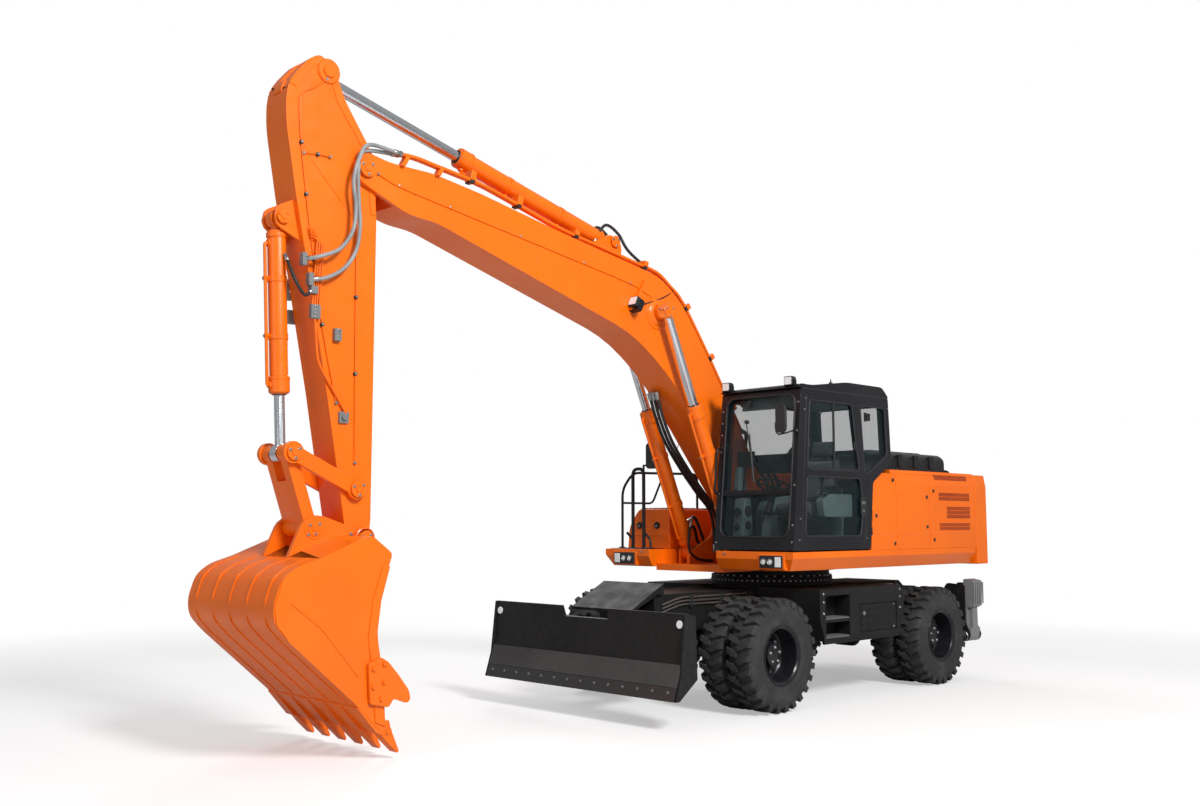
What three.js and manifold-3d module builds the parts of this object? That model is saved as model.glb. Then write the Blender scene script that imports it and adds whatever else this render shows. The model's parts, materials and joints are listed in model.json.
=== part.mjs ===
// A wheeled excavator of the 21 tonne class, as separate solids in millimetres.
// Frame: +X is the machine's left (cab side), -Y is forward, +Z is up, and the ground is at Z 0.
// Everything is laid out about the swing axis; the last lines move it so that the origin lies
// below the middle of the machine's length.
import * as THREE from 'three';
import { mergeVertices } from 'three/addons/utils/BufferGeometryUtils.js';
import Module from 'manifold-3d';

// ---------------------------------------------------------------- driving dimensions
const seat = 0.3; // gap between faces that rest on each other
const running = 5; // gap beside parts that move past each other
const pinSegments = 24; // flat sides of a pin and of its bore

// running gear
const wheelbase = 2850;
const frontAxleY = -1461;
const rearAxleY = frontAxleY + wheelbase;
const tyreRadius = 525.5;
const tyreWidth = 275;
const dualSpacing = 326;
const trackOuter = 2498; // across the outer faces of the outer tyres
const rimRadius = 262;
const kingpinX = 560;
const hubSeatX = 800; // where the spindle ends and the wheel's hub starts
const axleZ = tyreRadius;

// chassis
const chassisHalfWidth = 360;
const chassisTop = 1075;
const ringSeatZ = 1090;
const ringTopZ = 1250;
const ringRadius = 648;
const stepBoxOuter = 1150;
const stepBoxBottom = 590;

// turning upper structure
const upperHalfWidth = 1250;
const deckBottom = 1287;
const deckTop = 1467;
const deckFrontY = -1293;
const bodyRearY = 2200;
const bodyTop = 2300;
const tailRadius = 2750;
const counterweightTop = 2290;
const boomX = -147; // the boom's centre plane lies to the right of the swing axis
const leftDeckInner = 309;
const rightDeckInner = -602;

// cab
const cabInnerX = 275;
const cabBottom = 1480;
const cabRoofSeam = 3040;
const cabTop = 3150;
const cabWall = 55;
const glassThickness = 8;

// boom, arm and bucket: pins lie in the boom's centre plane
const boomFoot = [-250, 1930];
const boomLength = 5679;
const boomAngle = 27.7; // rise of the line from foot pin to nose pin
const boomHalfWidth = 200;
const armLength = 2950;
const armAngle = 90.54; // the arm's pin line below the horizontal, towards the front
const armHalfWidth = 155;
const boomCylinderBase = [-800, 1430];
const boomCylinderX = 325; // from the boom's centre plane
const bucketHalfWidth = 650;
const bucketPlate = 25;
const mainPinRadius = 50; // boom foot, boom nose, bucket and guide link pins
const cylinderPinRadius = 40; // boom and bucket cylinder pins

// blade and stabilizers
const bladeHalfWidth = 1256;
const bladePivot = [-2120, 600];
const bladePinRadius = 30;
const bladeCylinderBase = [-2315, 985];
const stabilizerPivot = [1130, 470]; // X and Z
const stabilizerPinRadius = 28;

const swingAxisY = 1750; // from the origin back to the swing axis

// ---------------------------------------------------------------- solids from three.js shapes
const wasm = await Module();
wasm.setup();

function solid(geometry) {
  const bare = geometry.index ? geometry.toNonIndexed() : geometry.clone();
  bare.deleteAttribute('normal');
  bare.deleteAttribute('uv');
  const merged = mergeVertices(bare, 1e-3);
  const vertProperties = new Float32Array(merged.attributes.position.array);
  const index = merged.index.array;
  const triangles = [];
  let volume = 0;
  const a = new THREE.Vector3();
  const b = new THREE.Vector3();
  const c = new THREE.Vector3();
  for (let i = 0; i < index.length; i += 3) {
    const [p, q, r] = [index[i], index[i + 1], index[i + 2]];
    if (p === q || q === r || r === p) continue;
    triangles.push(p, q, r);
    a.fromArray(vertProperties, 3 * p);
    b.fromArray(vertProperties, 3 * q);
    c.fromArray(vertProperties, 3 * r);
    volume += a.dot(b.cross(c));
  }
  if (volume < 0) triangles.reverse();
  const triVerts = new Uint32Array(triangles);
  return new wasm.Manifold(new wasm.Mesh({ numProp: 3, vertProperties, triVerts }));
}

const join = (...pieces) => pieces.reduce((sum, piece) => sum.add(piece));
const cut = (body, ...tools) => tools.reduce((rest, tool) => rest.subtract(tool), body);
const place = (geometry, matrix) => solid(geometry.applyMatrix4(matrix));

// The same solid on the other side of the plane X = centre.
function mirrored(body, centre = 0) {
  return body.scale([-1, 1, 1]).translate([2 * centre, 0, 0]);
}

// An outline whose corners may carry a radius as their third number.
function outline(points) {
  const shape = new THREE.Shape();
  const at = (i) => new THREE.Vector2(...points[(i + points.length) % points.length].slice(0, 2));
  points.forEach((point, i) => {
    const corner = at(i);
    const radius = point[2] ?? 0;
    const before = at(i - 1).sub(corner);
    const after = at(i + 1).sub(corner);
    const reach = Math.min(radius, before.length() * 0.45, after.length() * 0.45);
    const start = corner.clone().add(before.setLength(reach));
    const end = corner.clone().add(after.setLength(reach));
    if (i === 0) shape.moveTo(start.x, start.y);
    else shape.lineTo(start.x, start.y);
    if (reach > 0) shape.quadraticCurveTo(corner.x, corner.y, end.x, end.y);
  });
  shape.closePath();
  return shape;
}

const axesX = new THREE.Matrix4().set(0, 0, 1, 0, 1, 0, 0, 0, 0, 1, 0, 0, 0, 0, 0, 1);
const axesY = new THREE.Matrix4().set(1, 0, 0, 0, 0, 0, -1, 0, 0, 1, 0, 0, 0, 0, 0, 1);

function extruded(points, depth, curveSegments) {
  return new THREE.ExtrudeGeometry(outline(points), { depth, bevelEnabled: false, curveSegments });
}

// Plates: an outline in the plane across one axis, from one place on that axis to another.
function plateX(points, x0, x1, curveSegments = 2) {
  const move = new THREE.Matrix4().makeTranslation(x0, 0, 0);
  return place(extruded(points, x1 - x0, curveSegments), move.multiply(axesX));
}

function plateY(points, y0, y1, curveSegments = 2) {
  const move = new THREE.Matrix4().makeTranslation(0, y1, 0);
  return place(extruded(points, y1 - y0, curveSegments), move.multiply(axesY));
}

function plateZ(points, z0, z1, curveSegments = 2) {
  const move = new THREE.Matrix4().makeTranslation(0, 0, z0);
  return place(extruded(points, z1 - z0, curveSegments), move);
}

function box(x0, x1, y0, y1, z0, z1) {
  const move = new THREE.Matrix4().makeTranslation((x0 + x1) / 2, (y0 + y1) / 2, (z0 + z1) / 2);
  return place(new THREE.BoxGeometry(x1 - x0, y1 - y0, z1 - z0), move);
}

// A round bar between two points.
function bar(from, to, radius, segments = 12) {
  const start = new THREE.Vector3(...from);
  const end = new THREE.Vector3(...to);
  const along = end.clone().sub(start);
  const up = new THREE.Vector3(0, 1, 0);
  const turn = new THREE.Quaternion().setFromUnitVectors(up, along.clone().normalize());
  const middle = start.clone().add(end).multiplyScalar(0.5);
  const matrix = new THREE.Matrix4().compose(middle, turn, new THREE.Vector3(1, 1, 1));
  return place(new THREE.CylinderGeometry(radius, radius, along.length(), segments), matrix);
}

// A pin or eye across the machine, centred on a point of the Y-Z plane.
const pin = ([y, z], radius, x0, x1, segments = pinSegments) => bar([x0, y, z], [x1, y, z], radius, segments);

// A pin turns freely in its bore: the bore's flats clear the pin's corners.
const boreRadius = (pinRadius) => (pinRadius + seat) / Math.cos(Math.PI / pinSegments);
const bore = (centre, pinRadius, x0, x1) => pin(centre, boreRadius(pinRadius), x0, x1);

// Round tube bent through a list of points.
function railing(points, radius, segments = 7) {
  const balls = points.slice(1, -1).map(([x, y, z]) => {
    const move = new THREE.Matrix4().makeTranslation(x, y, z);
    return place(new THREE.SphereGeometry(radius * 1.07, 8, 5), move);
  });
  const bars = points.slice(1).map((point, i) => bar(points[i], point, radius, segments));
  return join(...bars, ...balls);
}

// A solid of revolution about an axis parallel to X through a point of the Y-Z plane:
// the profile is a closed list of [x, radius]. It has flat sides, one of them at the bottom.
function turned(profile, [y, z], segments) {
  const step = (2 * Math.PI) / segments;
  const points = profile.map(([x, radius]) => new THREE.Vector2(radius / Math.cos(step / 2), x));
  points.push(points[0].clone());
  const matrix = new THREE.Matrix4().makeTranslation(0, y, z);
  matrix.multiply(new THREE.Matrix4().makeRotationZ(-Math.PI / 2));
  return place(new THREE.LatheGeometry(points, segments, step / 2), matrix);
}

// ---------------------------------------------------------------- colours
const paint = { color: 0xf26a1b, roughness: 0.35, metalness: 0.1 };
const dark = { color: 0x1d1e20, roughness: 0.55, metalness: 0.2 };
const steelGrey = { color: 0x6d6f72, roughness: 0.45, metalness: 0.4 };
const rubber = { color: 0x2a2a2b, roughness: 0.85, metalness: 0 };
const chrome = { color: 0xd8dade, roughness: 0.12, metalness: 1 };
const glass = { color: 0x5d7f80, roughness: 0.08, metalness: 0 };
const cloth = { color: 0x4f5a5e, roughness: 0.9, metalness: 0 };

const machine = new THREE.Group();

function part(name, body, look) {
  const mesh = body.getMesh();
  const geometry = new THREE.BufferGeometry();
  const corners = Float32Array.from({ length: mesh.numVert * 3 }, (_, i) => {
    return mesh.vertProperties[Math.floor(i / 3) * mesh.numProp + (i % 3)];
  });
  geometry.setAttribute('position', new THREE.BufferAttribute(corners, 3));
  geometry.setIndex(new THREE.BufferAttribute(new Uint32Array(mesh.triVerts), 1));
  geometry.computeVertexNormals();
  const node = new THREE.Mesh(geometry, new THREE.MeshStandardMaterial(look));
  node.name = name;
  machine.add(node);
}

const sides = [['left', 1], ['right', -1]];
const onSide = (body, side) => (side > 0 ? body : mirrored(body));

// ---------------------------------------------------------------- wheels, knuckles and axles
const axleTubeRadius = 85;
const forkArm = [130, 172]; // height of a fork arm's faces above and below the axle
const forkRadius = 70;
const kingpinRadius = 30;

// A pair of tyres on one deep rim, as one solid of revolution on the left side.
function wheelPair(axleY) {
  const outer = trackOuter / 2;
  const inner = outer - dualSpacing - tyreWidth;
  const shoulder = 40;
  const tread = (x0) => [
    [x0, tyreRadius - 90],
    [x0 + shoulder, tyreRadius],
    [x0 + tyreWidth - shoulder, tyreRadius],
    [x0 + tyreWidth, tyreRadius - 90],
  ];
  const profile = [
    [hubSeatX + seat, 0],
    [hubSeatX + seat, 150],
    [hubSeatX + 90, 160],
    [hubSeatX + 90, rimRadius - 20],
    [inner, rimRadius - 10],
    ...tread(inner),
    [inner + tyreWidth, rimRadius + 60],
    [inner + dualSpacing, rimRadius + 60],
    ...tread(inner + dualSpacing),
    [outer, rimRadius - 10],
    [outer - 195, rimRadius - 48],
    [outer - 215, 150],
    [outer - 100, 115],
    [outer - 100, 0],
  ];
  return turned(profile, [axleY, axleZ], 24);
}

for (const [end, axleY] of [['front', frontAxleY], ['rear', rearAxleY]]) {
  for (const [name, side] of sides) {
    part(`${end}_${name}_wheel`, onSide(wheelPair(axleY), side), rubber);
  }
}

// The spindle with its brake drum, ending at the wheel's hub.
function spindle(axleY, from) {
  return join(
    pin([axleY, axleZ], 75, from, hubSeatX, 20),
    pin([axleY, axleZ], 140, 660, 770, 20),
  );
}

function knuckle() {
  const swivel = [kingpinX, frontAxleY];
  const post = bar([...swivel, axleZ - forkArm[0] + running], [...swivel, axleZ + forkArm[0] - running], 62);
  const kingpin = bar([...swivel, axleZ - 185], [...swivel, axleZ + 185], kingpinRadius, pinSegments);
  const arm = box(kingpinX - 30, kingpinX + 30, frontAxleY + 40, frontAxleY + 190, axleZ - 90, axleZ - 55);
  return join(post, kingpin, spindle(frontAxleY, kingpinX), arm);
}

for (const [name, side] of sides) {
  part(`${name}_knuckle`, onSide(knuckle(), side), dark);
}

const axleSaddleTop = 700;

function differential(axleY) {
  const profile = [
    [-190, 0], [-190, axleTubeRadius], [-110, 190], [110, 190], [190, axleTubeRadius], [190, 0],
  ];
  return turned(profile, [axleY, axleZ], 20);
}

function fork() {
  const at = [kingpinX, frontAxleY];
  const arms = [1, -1].map((up) => {
    const [low, high] = forkArm.map((height) => axleZ + up * height).sort((p, q) => p - q);
    const round = bar([...at, low], [...at, high], forkRadius, 20);
    return join(round, box(430, kingpinX, frontAxleY - forkRadius, frontAxleY + forkRadius, low, high));
  });
  const web = box(
    430, 480, frontAxleY - forkRadius, frontAxleY + forkRadius, axleZ - forkArm[1], axleZ + forkArm[1],
  );
  const kingpinBore = bar([...at, 0], [...at, 2 * axleZ], boreRadius(kingpinRadius), pinSegments);
  return cut(join(...arms, web), kingpinBore);
}

const frontAxleTube = join(
  pin([frontAxleY, axleZ], axleTubeRadius, -440, 440, 16),
  differential(frontAxleY),
  box(-90, 90, frontAxleY - 100, frontAxleY + 100, axleZ + 100, axleSaddleTop),
  bar([0, frontAxleY - 268, axleSaddleTop - 40], [0, frontAxleY + 268, axleSaddleTop - 40], 40),
  bar([-300, frontAxleY + 150, axleZ - 72], [300, frontAxleY + 150, axleZ - 72], 32, 16),
  box(-60, 60, frontAxleY + 50, frontAxleY + 175, axleZ - 95, axleZ - 50),
);
part('front_axle', join(frontAxleTube, fork(), mirrored(fork())), dark);

const rearSaddle = (side) => box(
  side * 250 - 60, side * 250 + 60, rearAxleY - 100, rearAxleY + 100, axleZ, axleSaddleTop + 20 - seat,
);
part('rear_axle', join(
  pin([rearAxleY, axleZ], 95, -600, 600, 16),
  differential(rearAxleY),
  rearSaddle(1),
  rearSaddle(-1),
  spindle(rearAxleY, 560),
  mirrored(spindle(rearAxleY, 560)),
), dark);

// ---------------------------------------------------------------- chassis
const chassisFrontY = frontAxleY - 790;
const chassisRearY = rearAxleY + 671;
const frameBottomAtAxles = axleSaddleTop + 20;
const bellyBottom = 600;

function chassisFrame() {
  const spine = plateX([
    [chassisFrontY, 800], [chassisFrontY, chassisTop - 40], [chassisFrontY + 60, chassisTop],
    [chassisRearY - 90, chassisTop], [chassisRearY, chassisTop - 60], [chassisRearY, frameBottomAtAxles],
    [rearAxleY - 380, frameBottomAtAxles], [rearAxleY - 480, bellyBottom],
    [frontAxleY + 560, bellyBottom], [frontAxleY + 460, frameBottomAtAxles],
    [frontAxleY - 700, frameBottomAtAxles],
  ], -chassisHalfWidth, chassisHalfWidth);
  const ringSeat = bar([0, 0, chassisTop - 20], [0, 0, ringSeatZ], 700, 32);
  const lugs = [-1, 1].map((end) => {
    const y = frontAxleY + end * 235;
    const lug = box(-80, 80, y - 30, y + 30, axleSaddleTop - 100, frameBottomAtAxles + 5);
    return cut(lug, bar([0, y - 40, axleSaddleTop - 40], [0, y + 40, axleSaddleTop - 40], 40 + seat));
  });
  const bladeLugs = [-1, 1].flatMap((side) => [200, 345].map((x) => plateX([
    [bladePivot[0] - 75, bladePivot[1] - 70, 60], [bladePivot[0] + 75, bladePivot[1] - 70, 60],
    [bladePivot[0] + 170, frameBottomAtAxles + 20], [bladePivot[0] - 75, frameBottomAtAxles + 20],
  ], side * x - 15, side * x + 15)));
  const bladePins = [-1, 1].map((side) => pin(bladePivot, bladePinRadius, side * 190, side * 358));
  const [earY, earZ] = bladeCylinderBase;
  const cylinderEars = [-1, 1].map((side) => plateX([
    [earY - 45, earZ - 45, 45], [earY - 45, earZ + 45, 45], [chassisFrontY + 30, earZ + 45],
    [chassisFrontY + 30, 850], [chassisFrontY - 5, 850],
  ], side * 57 - 10, side * 57 + 10));
  const cylinderPin = pin(bladeCylinderBase, 25, -70, 70);
  return join(spine, ringSeat, ...lugs, ...bladeLugs, ...bladePins, ...cylinderEars, cylinderPin);
}

part('chassis_frame', chassisFrame(), dark);

part('slew_ring', join(
  bar([0, 0, ringSeatZ + seat], [0, 0, ringTopZ - 60], ringRadius, 32),
  bar([0, 0, ringTopZ - 61], [0, 0, ringTopZ - seat], ringRadius - 30, 32),
), dark);

// Transfer gearbox under the belly with a shaft to each axle.
const gearboxBottom = 400;
part('drive_shaft', join(
  box(-170, 170, -250, 250, gearboxBottom, bellyBottom - seat),
  bar([0, frontAxleY + 190 + seat, axleZ], [0, -200, axleZ], 38, 16),
  bar([0, rearAxleY - 190 - seat, axleZ], [0, 200, axleZ], 38, 16),
), dark);

// Step box with two pockets for the feet and a shallow recess for its tool door.
const stepBoxFrontY = frontAxleY + 726;
const stepBoxRearY = rearAxleY - 614;
const pocketDepth = 190;
const pocketRows = [[800, 1030], [620, 770]];

function stepBox() {
  const shell = plateX([
    [stepBoxFrontY, 1095], [stepBoxFrontY, 800], [stepBoxFrontY + 60, 640],
    [stepBoxFrontY + 60, stepBoxBottom], [stepBoxRearY - 90, stepBoxBottom], [stepBoxRearY, 800],
    [stepBoxRearY, 1040], [stepBoxRearY - 60, 1095],
  ], chassisHalfWidth + seat, stepBoxOuter);
  const pockets = pocketRows.map(([low, high]) => box(
    stepBoxOuter - pocketDepth, stepBoxOuter + 10, stepBoxFrontY + 95, stepBoxFrontY + 510, low, high,
  ));
  const doorRecess = box(
    stepBoxOuter - 15, stepBoxOuter + 10, stepBoxFrontY + 680, stepBoxRearY - 130, 640, 930,
  );
  const underRing = bar([0, 0, 1050], [0, 0, 1200], 700 + running, 32);
  const rail = bar(
    [stepBoxOuter - 18, stepBoxFrontY + 70, stepBoxBottom - 12],
    [stepBoxOuter - 18, stepBoxRearY - 95, stepBoxBottom - 12], 18, 12,
  );
  return join(cut(shell, ...pockets, doorRecess, underRing), rail);
}

for (const [name, side] of sides) {
  part(`${name}_step_box`, onSide(stepBox(), side), dark);
}

// Sloping guard over the blade's cylinder, standing on the front of the chassis.
const guardHalfWidth = 400;
part('blade_guard', plateX([
  [chassisFrontY + 95, chassisTop + seat], [chassisFrontY + 95, 1180], [chassisFrontY - 345, 950],
  [chassisFrontY - 345, 925], [chassisFrontY - 20, 1060], [chassisFrontY - 5, chassisTop + seat],
], -guardHalfWidth, guardHalfWidth), dark);

// ---------------------------------------------------------------- dozer blade
const bladeBackY = -2700;
const bladeTop = 975;
const bladeBottom = 256;
const bladeCylinderEye = [bladeBackY + 75, 540];

function dozerBlade() {
  const section = plateX([
    [bladeBackY - 110, bladeTop], [bladeBackY - 75, bladeTop], [bladeBackY - 10, 800], [bladeBackY + 10, 620],
    [bladeBackY - 15, 450], [bladeBackY - 205, bladeBottom], [bladeBackY - 245, bladeBottom],
    [bladeBackY - 175, 470], [bladeBackY - 130, 650],
  ], -bladeHalfWidth, bladeHalfWidth);
  const notch = box(-310, 310, bladeBackY - 400, bladeBackY + 100, bladeTop - 95, bladeTop + 10);
  const endPlates = [-1, 1].map((side) => plateX([
    [bladeBackY - 125, bladeTop], [bladeBackY + 5, bladeTop - 20], [bladeBackY + 25, 420],
    [bladeBackY - 205, bladeBottom], [bladeBackY - 250, bladeBottom], [bladeBackY - 180, 480],
  ], side > 0 ? bladeHalfWidth - 16 : -bladeHalfWidth, side > 0 ? bladeHalfWidth : 16 - bladeHalfWidth));
  const arms = [-1, 1].map((side) => {
    const [x0, x1] = side > 0 ? [220, 325] : [-325, -220];
    const beam = plateX([
      [bladePivot[0] + 70, bladePivot[1] - 70, 60], [bladePivot[0] + 70, bladePivot[1] + 70, 60],
      [bladePivot[0] - 90, bladePivot[1] + 70], [bladeBackY - 30, 760], [bladeBackY - 60, 430],
      [bladePivot[0] - 90, bladePivot[1] - 70],
    ], x0, x1);
    return cut(beam, bore(bladePivot, bladePinRadius, side * 100, side * 400));
  });
  const ears = [-1, 1].map((side) => plateX([
    [bladeBackY - 40, 470], [bladeBackY + 130, 480, 50], [bladeBackY + 130, 600, 50], [bladeBackY - 40, 640],
  ], side * 60 - 10, side * 60 + 10));
  return join(cut(section, notch), ...endPlates, ...arms, ...ears);
}

part('dozer_blade', dozerBlade(), dark);

// ---------------------------------------------------------------- hydraulic cylinders
// Every cylinder runs between two eyes in a plane across the X axis. Its barrel is bored for
// the rod; the rod carries a piston that stays inside.
function ram(name, look, size) {
  const { x, base, eye, barrelEnd, cylinderBore: inner, rodRadius, rodLength } = size;
  const { eyeWidth, eyeRadius, pinRadius, headLength } = size;
  const start = new THREE.Vector2(...base);
  const end = new THREE.Vector2(...eye);
  const along = end.clone().sub(start).normalize();
  const at = (from, distance) => {
    const point = from.clone().addScaledVector(along, distance);
    return [x, point.x, point.y];
  };
  const wall = 14;
  const tubeStart = eyeRadius + 25;
  const pistonLength = 28;
  const hub = (centre) => pin([centre.x, centre.y], eyeRadius, x - eyeWidth / 2, x + eyeWidth / 2);
  const hole = (centre) => bore([centre.x, centre.y], pinRadius, x - eyeWidth, x + eyeWidth);
  const barrel = join(
    hub(start),
    bar(at(start, eyeRadius * 0.5), at(start, tubeStart + 5), eyeWidth / 2 - 3),
    bar(at(start, tubeStart), at(start, barrelEnd), inner + wall),
    bar(at(start, barrelEnd - headLength), at(start, barrelEnd), inner + wall + 10),
  );
  const inside = bar(at(start, tubeStart + 18), at(start, barrelEnd - headLength / 2), inner);
  const neck = bar(at(start, barrelEnd - headLength), at(start, barrelEnd + 10), rodRadius + seat);
  part(`${name}_barrel`, cut(barrel, inside, neck, hole(start)), look);
  const rod = join(
    hub(end),
    bar(at(end, -eyeRadius * 0.5), at(end, -rodLength), rodRadius),
    bar(at(end, -rodLength - pistonLength), at(end, -rodLength), inner - seat),
  );
  part(`${name}_rod`, cut(rod, hole(end)), chrome);
}

// ---------------------------------------------------------------- stabilizers
const beamFrontY = chassisRearY + seat;
const beamPlate = 20;
const beamRearY = 2320;

function stabilizerBeam() {
  const half = [
    [0, 430], [950, 400], [1175, 410, 60], [1215, 480, 60], [1150, 620], [1150, 1040, 20], [930, 1060, 30],
    [760, 760], [0, 900],
  ];
  const mirror = half.slice(1, -1).reverse().map(([x, ...rest]) => [-x, ...rest]);
  const wholeOutline = [...half, ...mirror];
  const plates = [beamFrontY, beamRearY - beamPlate].map((y) => plateY(wholeOutline, y, y + beamPlate));
  const core = box(-700, 700, beamFrontY, beamRearY, 450, 720);
  const pins = [-1, 1].map((side) => bar(
    [side * stabilizerPivot[0], beamFrontY, stabilizerPivot[1]],
    [side * stabilizerPivot[0], beamRearY, stabilizerPivot[1]], stabilizerPinRadius, pinSegments,
  ));
  return join(...plates, core, ...pins);
}

part('stabilizer_beam', stabilizerBeam(), dark);

// A leg stands folded up beside the machine, with its foot at the top facing out.
function stabilizerLeg() {
  const [x, z] = stabilizerPivot;
  const [y0, y1] = [beamFrontY + beamPlate + running, beamRearY - beamPlate - running];
  const column = plateY([
    [x - 60, z - 60, 50], [x + 60, z - 60, 50], [x + 80, z + 120], [x + 78, z + 400], [x - 10, z + 400],
    [x - 60, z + 60],
  ], y0, y1);
  const foot = plateY([
    [x - 20, z + 360, 15], [x + 110, z + 330, 15], [x + 118, z + 620, 25], [x - 5, z + 640, 15],
  ], y0 + 4, y1 - 4);
  const waist = box(x + 30, x + 200, y1 - 55, y1 + 10, z + 90, z + 320);
  const hole = bar([x, y0 - 50, z], [x, y1 + 50, z], boreRadius(stabilizerPinRadius), pinSegments);
  const bevel = box(x + 30, x + 200, y0 - 10, y0 + 45, z + 90, z + 320);
  return cut(join(column, foot), waist, bevel, hole);
}

for (const [name, side] of sides) {
  part(`${name}_stabilizer`, onSide(stabilizerLeg(), side), steelGrey);
}

// ---------------------------------------------------------------- upper frame and decks
const cheekX = [boomHalfWidth + 12, boomHalfWidth + 52]; // boom mounting plates, from the boom's plane
const upperFloor = 30;

function upperFrame() {
  const plate = plateZ([
    [rightDeckInner + seat, -1180], [leftDeckInner - seat, -1180], [leftDeckInner - seat, 2150],
    [rightDeckInner + seat, 2150],
  ], ringTopZ, deckBottom + upperFloor);
  const ringPlate = bar([0, 0, ringTopZ], [0, 0, deckBottom - seat], 690, 32);
  const cheeks = [-1, 1].map((side) => {
    const [x0, x1] = cheekX.map((x) => boomX + side * x).sort((p, q) => p - q);
    return plateX([
      [-930, deckBottom], [-930, 1420, 60], [-560, 1600, 40], [boomFoot[0] - 150, boomFoot[1] + 60, 120],
      [boomFoot[0] + 40, boomFoot[1] + 150, 130], [boomFoot[0] + 190, boomFoot[1], 80], [900, 1450, 60],
      [1500, 1400], [1500, deckBottom],
    ], x0, x1);
  });
  const footPin = pin(boomFoot, mainPinRadius, boomX - cheekX[1] - 25, boomX + cheekX[1] + 25);
  const ears = [-1, 1].map((side) => {
    const centre = boomX + side * boomCylinderX;
    return [-1, 1].map((edge) => plateX([
      [boomCylinderBase[0] - 90, deckBottom], [boomCylinderBase[0] - 90, boomCylinderBase[1] + 60, 60],
      [boomCylinderBase[0] + 90, boomCylinderBase[1] + 60, 60], [boomCylinderBase[0] + 130, deckBottom],
    ], centre + edge * 62 - 10, centre + edge * 62 + 10));
  }).flat();
  const cylinderPins = [-1, 1].map((side) => {
    const centre = boomX + side * boomCylinderX;
    return pin(boomCylinderBase, cylinderPinRadius, centre - 75, centre + 75);
  });
  return join(plate, ringPlate, ...cheeks, footPin, ...ears, ...cylinderPins);
}

part('upper_frame', upperFrame(), paint);

const chamfer = 80;
const deckRearY = bodyRearY - 32;
const deck = (inner, outer) => {
  const out = Math.sign(outer);
  return plateY([
    [inner, deckBottom], [inner, deckTop - seat], [outer, deckTop - seat], [outer, deckTop - 60],
    [outer - out * chamfer, deckBottom],
  ], deckFrontY, deckRearY);
};
part('left_deck', deck(leftDeckInner, upperHalfWidth), paint);
part('right_deck', deck(rightDeckInner, -upperHalfWidth), paint);

// Counterweight: a slice of a disc about the swing axis, as wide as the machine.
function counterweight() {
  const reach = Math.sqrt(tailRadius ** 2 - upperHalfWidth ** 2);
  const steps = 16;
  const half = Math.atan2(upperHalfWidth, reach);
  const arc = Array.from({ length: steps + 1 }, (_, i) => {
    const angle = half - (2 * half * i) / steps;
    return [tailRadius * Math.sin(angle), tailRadius * Math.cos(angle)];
  });
  const frontY = bodyRearY + seat;
  const body = plateZ([
    [-upperHalfWidth, frontY], ...arc.reverse(), [upperHalfWidth, frontY],
  ], deckBottom - 10, counterweightTop);
  const slopes = plateX([
    [2480, deckBottom - 20], [2900, deckBottom - 20], [2900, 1600], [2750, 1450],
  ], -2000, 2000);
  const topSlope = plateX([
    [2900, counterweightTop + 10], [2560, counterweightTop + 10], [2700, 2140], [2900, 2000],
  ], -2000, 2000);
  return cut(body, slopes, topSlope);
}
part('counterweight', counterweight(), paint);

// ---------------------------------------------------------------- engine bay
const doorThickness = 40;
const doorGap = 8;
const bayFrontY = 32;
const panelSeams = [520, 1190, bodyRearY - 10];

const leftPanel = (y0, y1) => plateX([
  [y0, deckTop], [y0, bodyTop - 40 - seat], [y1, bodyTop - 40 - seat], [y1, deckTop],
], upperHalfWidth - doorThickness, upperHalfWidth);
part('left_fixed_panel', plateX([
  [bayFrontY, deckTop], [bayFrontY + 68, 2145, 20], [300, bodyTop - 40 - seat],
  [panelSeams[0], bodyTop - 40 - seat], [panelSeams[0], deckTop],
], upperHalfWidth - doorThickness, upperHalfWidth), paint);
part('left_front_door', leftPanel(panelSeams[0] + doorGap, panelSeams[1]), paint);
part('left_rear_door', leftPanel(panelSeams[1] + doorGap, panelSeams[2]), paint);

const hoodX = [-880, 900];
const hoodY = [560, 2140];
const hoodTop = 2530;
const wallX = -upperHalfWidth;
const pumpDoorY = [560, 1600];
const pumpDoorZ = [deckTop + 60, bodyTop - 80]; // the doorway's sill and head

// The top of the bay, open under the hood, with its front wall and right side wall.
function bayCover() {
  const top = box(wallX, upperHalfWidth, panelSeams[0] - 60, bodyRearY, bodyTop - 40, bodyTop);
  const ledge = 40; // what the hood's walls stand on
  const opening = box(
    hoodX[0] + ledge, hoodX[1] - ledge, hoodY[0] + ledge, hoodY[1] - ledge, bodyTop - 100, bodyTop + 50,
  );
  const firewall = box(wallX, upperHalfWidth - doorThickness - 5, 505, 525, deckTop, bodyTop - 39);
  const side = box(wallX, wallX + doorThickness, 505, bodyRearY, deckTop, bodyTop - 39);
  const doorway = box(
    wallX - 10, wallX + doorThickness + 10, pumpDoorY[0] - doorGap, pumpDoorY[1] + doorGap, ...pumpDoorZ,
  );
  const cheekSlot = box(boomX - cheekX[1] - 20, boomX + cheekX[1] + 20, 490, 540, deckTop - 10, 1680);
  return cut(join(top, firewall, side), opening, doorway, cheekSlot);
}
part('bay_cover', bayCover(), paint);

part('pump_door', box(
  wallX, wallX + doorThickness, ...pumpDoorY, pumpDoorZ[0] + seat, pumpDoorZ[1] - doorGap,
), paint);

part('engine', join(
  box(-500, 600, 1300, 2050, 1480, 2150),
  box(-900, 900, 1400, 1950, 1467, 1500),
), dark);

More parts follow.
